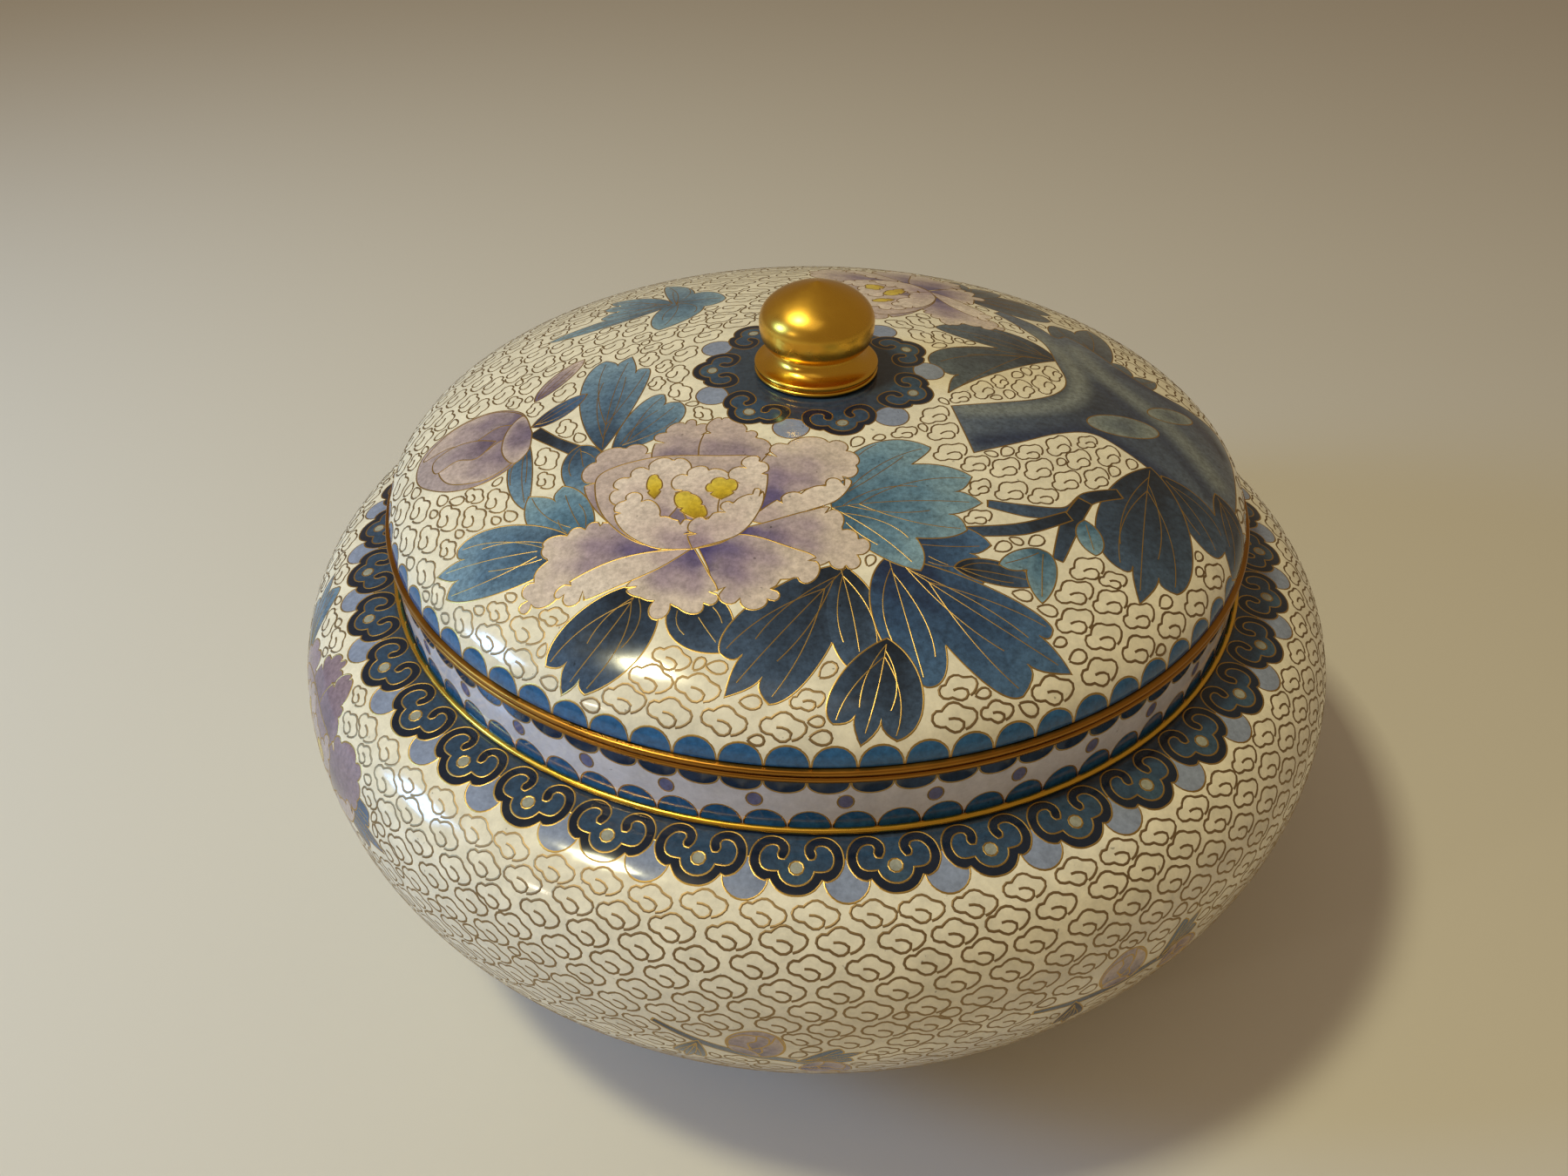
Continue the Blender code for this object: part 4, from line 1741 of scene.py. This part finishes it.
def turned_brass(name, colour, low, smoothest, roughest):
    """Turned brass: warm metal with faint turning lines and soft smears from handling."""
    material, tree, shader, place, smears = worn_metal(name, colour, low, 9.0, 4.0)
    rough = add_node(
        tree, "ShaderNodeMapRange", links={"Value": smears},
        values={"From Min": 0.35, "From Max": 0.7, "To Min": smoothest, "To Max": roughest},
    )
    tree.links.new(rough.outputs["Result"], shader.inputs["Roughness"])
    # Turning lines run round the axis, so their noise is squeezed flat and reads height alone
    squeeze = add_node(
        tree, "ShaderNodeMapping", values={"Scale": (0.02, 0.02, 1.0)}, links={"Vector": place}
    )
    lines = add_node(
        tree, "ShaderNodeTexNoise", values={"Scale": per_mm(0.5), "Detail": 2.0},
        links={"Vector": squeeze.outputs[0]},
    )
    bump = add_node(
        tree, "ShaderNodeBump", values={"Strength": 0.15, "Distance": 0.03 * MM},
        links={"Height": lines.outputs["Fac"]},
    )
    tree.links.new(bump.outputs[0], shader.inputs["Normal"])
    return material


def gilt_brass(colour):
    """Knob, neck ring and foot: buffed and gilded, a bright and slightly soft mirror."""
    return turned_brass("polished_gilt_brass", colour, 0.90, 0.22, 0.34)


def brass_painted_table_reflection(colour):
    """Bands of the neck and the lid: brass whose brown is a painted reflection of a dark brown
    table.
    """
    return turned_brass("brass_with_painted_table_reflection", colour, 0.62, 0.24, 0.40)


def material_once(name, make, *values):
    """The material of this name, made the first time."""
    return bpy.data.materials.get(name) or make(*values)


# Turned brass

TURN_STEPS = 144
# How fully a band bulges: the lower, the squarer
BULGE = 0.8
# Radius of the last ring round the axis, which a small face closes
AXIS_RING = 0.02
# Gap between stacked pieces, and how far the bands reach in behind the enamel
GAP = 0.3
BAND_INSET = 0.5
# The lid's lip: clearance in the neck, wall, chamfer of its end and lead-in of its outside
LIP_CLEARANCE = 0.5
LIP_WALL = 1.2
LIP_CHAMFER = 0.3
LIP_LEAD = 0.4
# The foot: where the curve to the tread pulls and ends, and the chamfer of the tread
FOOT_PULL, FOOT_CURVE_END = 2.2, 0.9
FOOT_CHAMFER = 0.25
# The knob, from below: heights of its bead, groove, flange and bell, the depth of its groove,
# the radii of waist and ball, and how far the ball's widest line lies under the top
KNOB_BEAD, KNOB_GROOVE, KNOB_FLANGE, KNOB_BELL = 0.9, 0.4, 1.0, 3.0
KNOB_GROOVE_DEPTH = 0.6
KNOB_WAIST, KNOB_BALL = 9.2, 12.3
KNOB_BALL_DROP = 8.8


def turned_piece(name, profile, material, closed=True):
    """Turn a profile of (radius, height) with the extrude and resize tools.

    A closed profile is the section of a ring; an open one starts and ends on the axis.
    """
    bpy.ops.object.select_all(action="DESELECT")
    profile = [tuple(point) for point in profile]
    radius, height = profile[0]
    bpy.ops.mesh.primitive_circle_add(
        vertices=TURN_STEPS, radius=radius * MM, fill_type="NOTHING", location=(0, 0, height * MM)
    )
    piece = bpy.context.object
    piece.name = piece.data.name = name
    bpy.ops.object.transform_apply(location=True, rotation=True, scale=True)
    bpy.ops.object.mode_set(mode="EDIT")
    onward = profile[1:] + ([profile[0]] if closed else [])
    for next_radius, next_height in onward:
        rise = (0, 0, (next_height - height) * MM)
        bpy.ops.mesh.extrude_region_move(TRANSFORM_OT_translate={"value": rise})
        ratio = next_radius / radius
        centre = (0, 0, next_height * MM)
        bpy.ops.transform.resize(value=(ratio, ratio, 1.0), center_override=centre)
        radius, height = next_radius, next_height
    bpy.ops.mesh.select_all(action="SELECT")
    bpy.ops.mesh.remove_doubles(threshold=0.004 * MM)
    if not closed:
        bpy.ops.mesh.select_all(action="DESELECT")
        bpy.ops.mesh.select_mode(type="EDGE")
        bpy.ops.mesh.select_non_manifold()
        bpy.ops.mesh.edge_face_add()
        bpy.ops.mesh.select_mode(type="VERT")
    bpy.ops.mesh.select_all(action="SELECT")
    bpy.ops.mesh.normals_make_consistent(inside=False)
    bpy.ops.object.mode_set(mode="OBJECT")
    bpy.ops.object.shade_smooth_by_angle(angle=math.radians(40.0))
    piece.data.materials.clear()
    piece.data.materials.append(material)
    return piece


def rounded_side(top, bottom, inner, outer, steps=9):
    """Bulging outer side of a band, from its top edge down to its bottom edge."""
    middle, half = 0.5 * (top + bottom), 0.5 * (top - bottom)
    return [
        (inner + (outer - inner) * math.cos(turn) ** BULGE, middle + half * math.sin(turn))
        for turn in map(math.radians, np.linspace(90.0, -90.0, steps))
    ]


def enamel_and_wires(names, drawing, backs, sizes, colours):
    """The enamel shell of a drawing and the wires round its cells, with these two names."""
    enamel = material_once("kiln_fired_enamel", kiln_enamel)
    wire = material_once("gilt_copper_wire", gilt_wire, colours.wire)
    shell, mosaic = enamel_shell(names[0], drawing, backs, tuple(colours.turquoise), enamel)
    return shell, lay_cell_wires(names[1], drawing, mosaic, sizes.wire / MM, wire)


class JAR_OT_body(bpy.types.Operator):
    """Build the enamelled bowl with its wires and clouds."""

    bl_idname = "jar.body"
    bl_label = "Bowl"

    def execute(self, context):
        sizes, colours = context.scene.jar_sizes, context.scene.jar_colours
        floor = BOWL_BOTTOM + WALL
        inner = np.vstack((inset(shoulder_curve(16), WALL)[:-1], inset(underside_curve(24), WALL)))
        throat = NECK_RADIUS - WALL
        lining = [(NECK_RADIUS, NECK_TOP), (throat, NECK_TOP), (throat, SHOULDER - WALL)]
        lining += [point for point in inner.tolist() if point[1] > floor + 0.2]
        lining += [(FOOT_RADIUS, floor), (FOOT_RADIUS / 2, floor), (0.0, floor)]
        base = [(FOOT_RADIUS, BOWL_BOTTOM), (FOOT_RADIUS / 2, BOWL_BOTTOM), (0.0, BOWL_BOTTOM)]
        names = ("bowl_enamel", "bowl_cell_wires")
        drawing = jar_drawing(colours, sizes)
        piece, wires = enamel_and_wires(names, drawing, (lining, base), sizes, colours)
        dark = material_once("cloud_wire_with_painted_dark_reflection", cloud_wire_painted_dark_reflection, colours.cloud_wire)
        mask = Mask(drawing)
        middle = FIRST_BODY_ROW + SHOULDER_ROWS * sizes.cloud_row / MM * BODY_CLOUD[1]
        upper, lower = (
            lay_clouds(name, drawing, mask, first, last, BODY_CLOUD, sizes, dark)
            for name, first, last in (
                ("shoulder_cloud_wires", FIRST_BODY_ROW, middle - 0.1),
                ("belly_cloud_wires", middle, drawing.surface.end),
            )
        )
        for item in (piece, wires, upper, lower):
            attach(item, "root")
            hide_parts("jar_body")
        return {"FINISHED"}


class JAR_OT_lid(bpy.types.Operator):
    """Build the enamelled lid with its wires and clouds."""

    bl_idname = "jar.lid"
    bl_label = "Lid"

    def execute(self, context):
        sizes, colours = context.scene.jar_sizes, context.scene.jar_colours
        lining = [(LID_RADIUS, LID_EDGE), (LID_RADIUS - WALL, LID_EDGE)]
        lining += inset(dome_curve(24), WALL)[-2::-1].tolist() + [(0.0, LID_TOP - WALL)]
        names = ("lid_enamel", "lid_cell_wires")
        drawing = lid_drawing(colours, sizes)
        piece, wires = enamel_and_wires(names, drawing, (lining,), sizes, colours)
        dark = material_once("cloud_wire_with_painted_dark_reflection", cloud_wire_painted_dark_reflection, colours.cloud_wire)
        reach = (FIRST_LID_ROW, drawing.surface.end)
        clouds = lay_clouds(
            "lid_cloud_wires", drawing, Mask(drawing), *reach, LID_CLOUD, sizes, dark
        )
        for item in (piece, wires, clouds):
            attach(item, "root")
            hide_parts("lid")
        return {"FINISHED"}


class JAR_OT_rims(bpy.types.Operator):
    """Turn the brass bands of the neck and the lid, and the wire ring round the neck."""

    bl_idname = "jar.rims"
    bl_label = "Brass rims"

    def execute(self, context):
        colours = context.scene.jar_colours
        brass = material_once("polished_gilt_brass", gilt_brass, colours.brass)
        # The brown brass of the bands is a painted reflection of a dark brown table
        brown = material_once("brass_with_painted_table_reflection", brass_painted_table_reflection, colours.band)
        made = []
        low, high = bottom_of("body_rim").z, top_of("body_rim").z
        inner = NECK_RADIUS - WALL - BAND_INSET
        profile = rounded_side(high, low, NECK_RADIUS, BAND_RADIUS) + [(inner, low), (inner, high)]
        made.append((turned_piece("body_rim_band", profile, brown), "body_rim"))

        low, high, end = high + GAP, top_of("lid_rim").z, bottom_of("lid_rim").z
        outside = inner - LIP_CLEARANCE
        inside_lip = outside - LIP_WALL
        profile = rounded_side(high, low, NECK_RADIUS, BAND_RADIUS)
        profile += [(outside, low), (outside, end + LIP_LEAD)]
        profile += [(outside - LIP_CHAMFER, end), (inside_lip + LIP_CHAMFER, end)]
        profile += [(inside_lip, end + LIP_CHAMFER), (inside_lip, high)]
        made.append((turned_piece("lid_rim_band", profile, brown), "lid_rim"))

        low, high = bottom_of("neck_ring").z, top_of("neck_ring").z
        radius, middle = 0.5 * (high - low), 0.5 * (high + low)
        centre = top_of("neck_ring").x - radius * math.sqrt(0.75)
        turns = [math.radians(90.0 - 22.5 * step) for step in range(16)]
        profile = [
            (centre + radius * math.cos(turn), middle + radius * math.sin(turn)) for turn in turns
        ]
        made.append((turned_piece("neck_wire_ring", profile, brass), "neck_ring"))
        for piece, node in made:
            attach(piece, "root")
            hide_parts(node)
        return {"FINISHED"}


class JAR_OT_foot(bpy.types.Operator):
    """Turn the brass foot ring."""

    bl_idname = "jar.foot"
    bl_label = "Foot"

    def execute(self, context):
        brass = material_once("polished_gilt_brass", gilt_brass, context.scene.jar_colours.brass)
        outer, inner = FOOT_TREAD_RADIUS, FOOT_RADIUS - FOOT_WALL
        pulls = ((FOOT_RADIUS, FOOT_PULL), (outer, FOOT_PULL))
        side = bend((FOOT_RADIUS, FOOT_TOP), *pulls, (outer, FOOT_CURVE_END), 8)
        profile = side.tolist() + [(outer, FOOT_CHAMFER), (outer - FOOT_CHAMFER, 0.0)]
        profile += [(inner + FOOT_CHAMFER, 0.0), (inner, FOOT_CHAMFER), (inner, FOOT_TOP)]
        piece = turned_piece("foot_ring_turned", profile, brass)
        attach(piece, "root")
        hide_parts("foot_ring")
        return {"FINISHED"}


class JAR_OT_knob(bpy.types.Operator):
    """Turn the knob: flattened ball with a soft point, neck, bell, flange, groove and bead."""

    bl_idname = "jar.knob"
    bl_label = "Knob"

    def execute(self, context):
        brass = material_once("polished_gilt_brass", gilt_brass, context.scene.jar_colours.brass)
        bead_top = KNOB_BOTTOM + KNOB_BEAD
        groove_top = bead_top + KNOB_GROOVE
        flange_top = groove_top + KNOB_FLANGE
        neck = flange_top + KNOB_BELL
        middle = KNOB_TOP - KNOB_BALL_DROP
        ball, waist = KNOB_BALL, KNOB_WAIST
        edge, groove = KNOB_FOOT_RADIUS, KNOB_FOOT_RADIUS - KNOB_GROOVE_DEPTH
        pulls = ((0.42 * ball, KNOB_TOP - 1.55), (ball, middle + 5.1))
        upper = bend((AXIS_RING, KNOB_TOP), *pulls, (ball, middle), 26)
        pulls = ((ball, middle - 3.54), (waist + 0.65 * (ball - waist), neck + 0.59))
        lower = bend((ball, middle), *pulls, (waist, neck), 16)
        pulls = ((waist, neck - 1.8), (groove - 0.5 * (groove - waist), flange_top))
        bell = bend((waist, neck), *pulls, (groove, flange_top), 12)
        profile = upper.tolist() + lower[1:].tolist() + bell[1:].tolist()
        profile += rounded_side(flange_top, groove_top, groove, edge, 7)[1:]
        profile.append((groove, bead_top))
        profile += rounded_side(bead_top, KNOB_BOTTOM, groove, edge, 7)[1:]
        profile.append((AXIS_RING, KNOB_BOTTOM))
        piece = turned_piece("knob_turned", profile, brass, closed=False)
        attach(piece, "root")
        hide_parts("knob")
        return {"FINISHED"}


# Stage

# The camera: place and near clip in metres, angles in degrees, lens and sensor in millimetres
CAMERA_PLACE = (-0.006485, -0.229858, 0.250592)
CAMERA_PITCH = 38.758
CAMERA_YAW = 0.173
CAMERA_ROLL = -0.237
CAMERA_LENS = 27.04
CAMERA_SENSOR = 36.0
CAMERA_CLIP = 0.01

FLOOR_SIZE = 6.0
FLOOR_PAINT, FLOOR_ROUGHNESS = "DAD5CB", 0.75
ROOM_LIGHT, ROOM_STRENGTH = "F8DAB4", 0.25
# Each light stands on the line along which its own highlight is seen in the glaze: the spot of
# glaze, the direction of the mirrored ray, the distance along it, size, power and colour
LIGHTS = (
    (
        "window_light", (-0.0751, -0.0842, 0.0830), (-0.914, -0.067, 0.400), 0.90,
        (0.20, 0.26), 4.4, (0.25, 0.52, 1.0),
    ),
    (
        "lamp_light", (-0.0386, -0.1006, 0.0860), (-0.397, -0.028, 0.917), 1.00,
        (0.12, 0.12), 4.9, (1.0, 0.94, 0.60),
    ),
    (
        "side_lamp", (-0.0401, -0.0843, 0.1078), (-0.756, -0.545, 0.363), 0.90,
        (0.05, 0.05), 0.3, (1.0, 0.88, 0.68),
    ),
    (
        "ceiling_light", (0.0, 0.0, 0.10), (-0.25, -0.35, 0.90), 1.30,
        (0.90, 0.70), 1.1, (1.0, 0.88, 0.70),
    ),
)


def soft_light(name, place, aim, size, power, colour):
    """A rectangular soft box at a place, turned to its aim."""
    light = bpy.data.lights.new(name, "AREA")
    light.shape = "RECTANGLE"
    light.size, light.size_y = size
    light.energy = power
    light.color = colour
    item = bpy.data.objects.new(name, light)
    bpy.context.scene.collection.objects.link(item)
    item.location = place
    item.rotation_euler = (Vector(aim) - place).to_track_quat("-Z", "Y").to_euler()


class JAR_OT_stage(bpy.types.Operator):
    """Add the pale floor, the soft lights and the camera."""

    bl_idname = "jar.stage"
    bl_label = "Stage"

    def execute(self, context):
        scene = context.scene
        bpy.ops.object.select_all(action="DESELECT")
        bpy.ops.mesh.primitive_plane_add(size=FLOOR_SIZE, location=(0, 0, 0))
        floor = context.object
        floor.name = "floor"
        material, _, shader, _ = new_material("pale_floor_paint")
        shader.inputs["Base Color"].default_value = (*linear(FLOOR_PAINT), 1.0)
        shader.inputs["Roughness"].default_value = FLOOR_ROUGHNESS
        floor.data.materials.append(material)
        floor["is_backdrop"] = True

        world = bpy.data.worlds.new("soft_room")
        world.use_nodes = True
        background = world.node_tree.nodes["Background"]
        background.inputs["Color"].default_value = (*linear(ROOM_LIGHT), 1.0)
        background.inputs["Strength"].default_value = ROOM_STRENGTH
        scene.world = world
        for name, spot, ray, away, size, power, colour in LIGHTS:
            soft_light(name, Vector(spot) + Vector(ray) * away, spot, size, power, colour)

        camera = bpy.data.cameras.new("camera")
        camera.lens = CAMERA_LENS
        camera.sensor_width = CAMERA_SENSOR
        camera.clip_start = CAMERA_CLIP
        item = bpy.data.objects.new("camera", camera)
        scene.collection.objects.link(item)
        turn = Matrix.Translation(CAMERA_PLACE)
        for degrees, axis in ((CAMERA_YAW, "Z"), (90.0 - CAMERA_PITCH, "X"), (CAMERA_ROLL, "Z")):
            turn = turn @ Matrix.Rotation(math.radians(degrees), 4, axis)
        item.matrix_world = turn
        scene.camera = item
        scene.view_settings.view_transform = "Standard"
        return {"FINISHED"}


class JAR_PT_panel(bpy.types.Panel):
    """Lists the steps that build the jar."""

    bl_idname = "JAR_PT_panel"
    bl_label = "Enamel jar"
    bl_space_type = "VIEW_3D"
    bl_region_type = "UI"
    bl_category = "Jar"

    def draw(self, context):
        for group in (context.scene.jar_sizes, context.scene.jar_colours):
            for name in group.__annotations__:
                self.layout.prop(group, name)
        for step in STEPS:
            self.layout.operator(step.bl_idname)


STEPS = (JAR_OT_body, JAR_OT_lid, JAR_OT_rims, JAR_OT_foot, JAR_OT_knob, JAR_OT_stage)
CLASSES = (JarSizes, JarColours, *STEPS, JAR_PT_panel)


def register():
    for item in CLASSES:
        bpy.utils.register_class(item)
    bpy.types.Scene.jar_sizes = bpy.props.PointerProperty(type=JarSizes)
    bpy.types.Scene.jar_colours = bpy.props.PointerProperty(type=JarColours)


def unregister():
    del bpy.types.Scene.jar_sizes
    del bpy.types.Scene.jar_colours
    for item in reversed(CLASSES):
        bpy.utils.unregister_class(item)


def main():
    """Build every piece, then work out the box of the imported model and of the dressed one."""
    register()
    bpy.ops.jar.body()
    bpy.ops.jar.lid()
    bpy.ops.jar.rims()
    bpy.ops.jar.foot()
    bpy.ops.jar.knob()
    bpy.ops.jar.stage()
    boxes = {"cad": CAD_BOX, "visual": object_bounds()}
    {name: [list(corner) for corner in box] for name, box in boxes.items()}


if __name__ == "__main__":
    main()
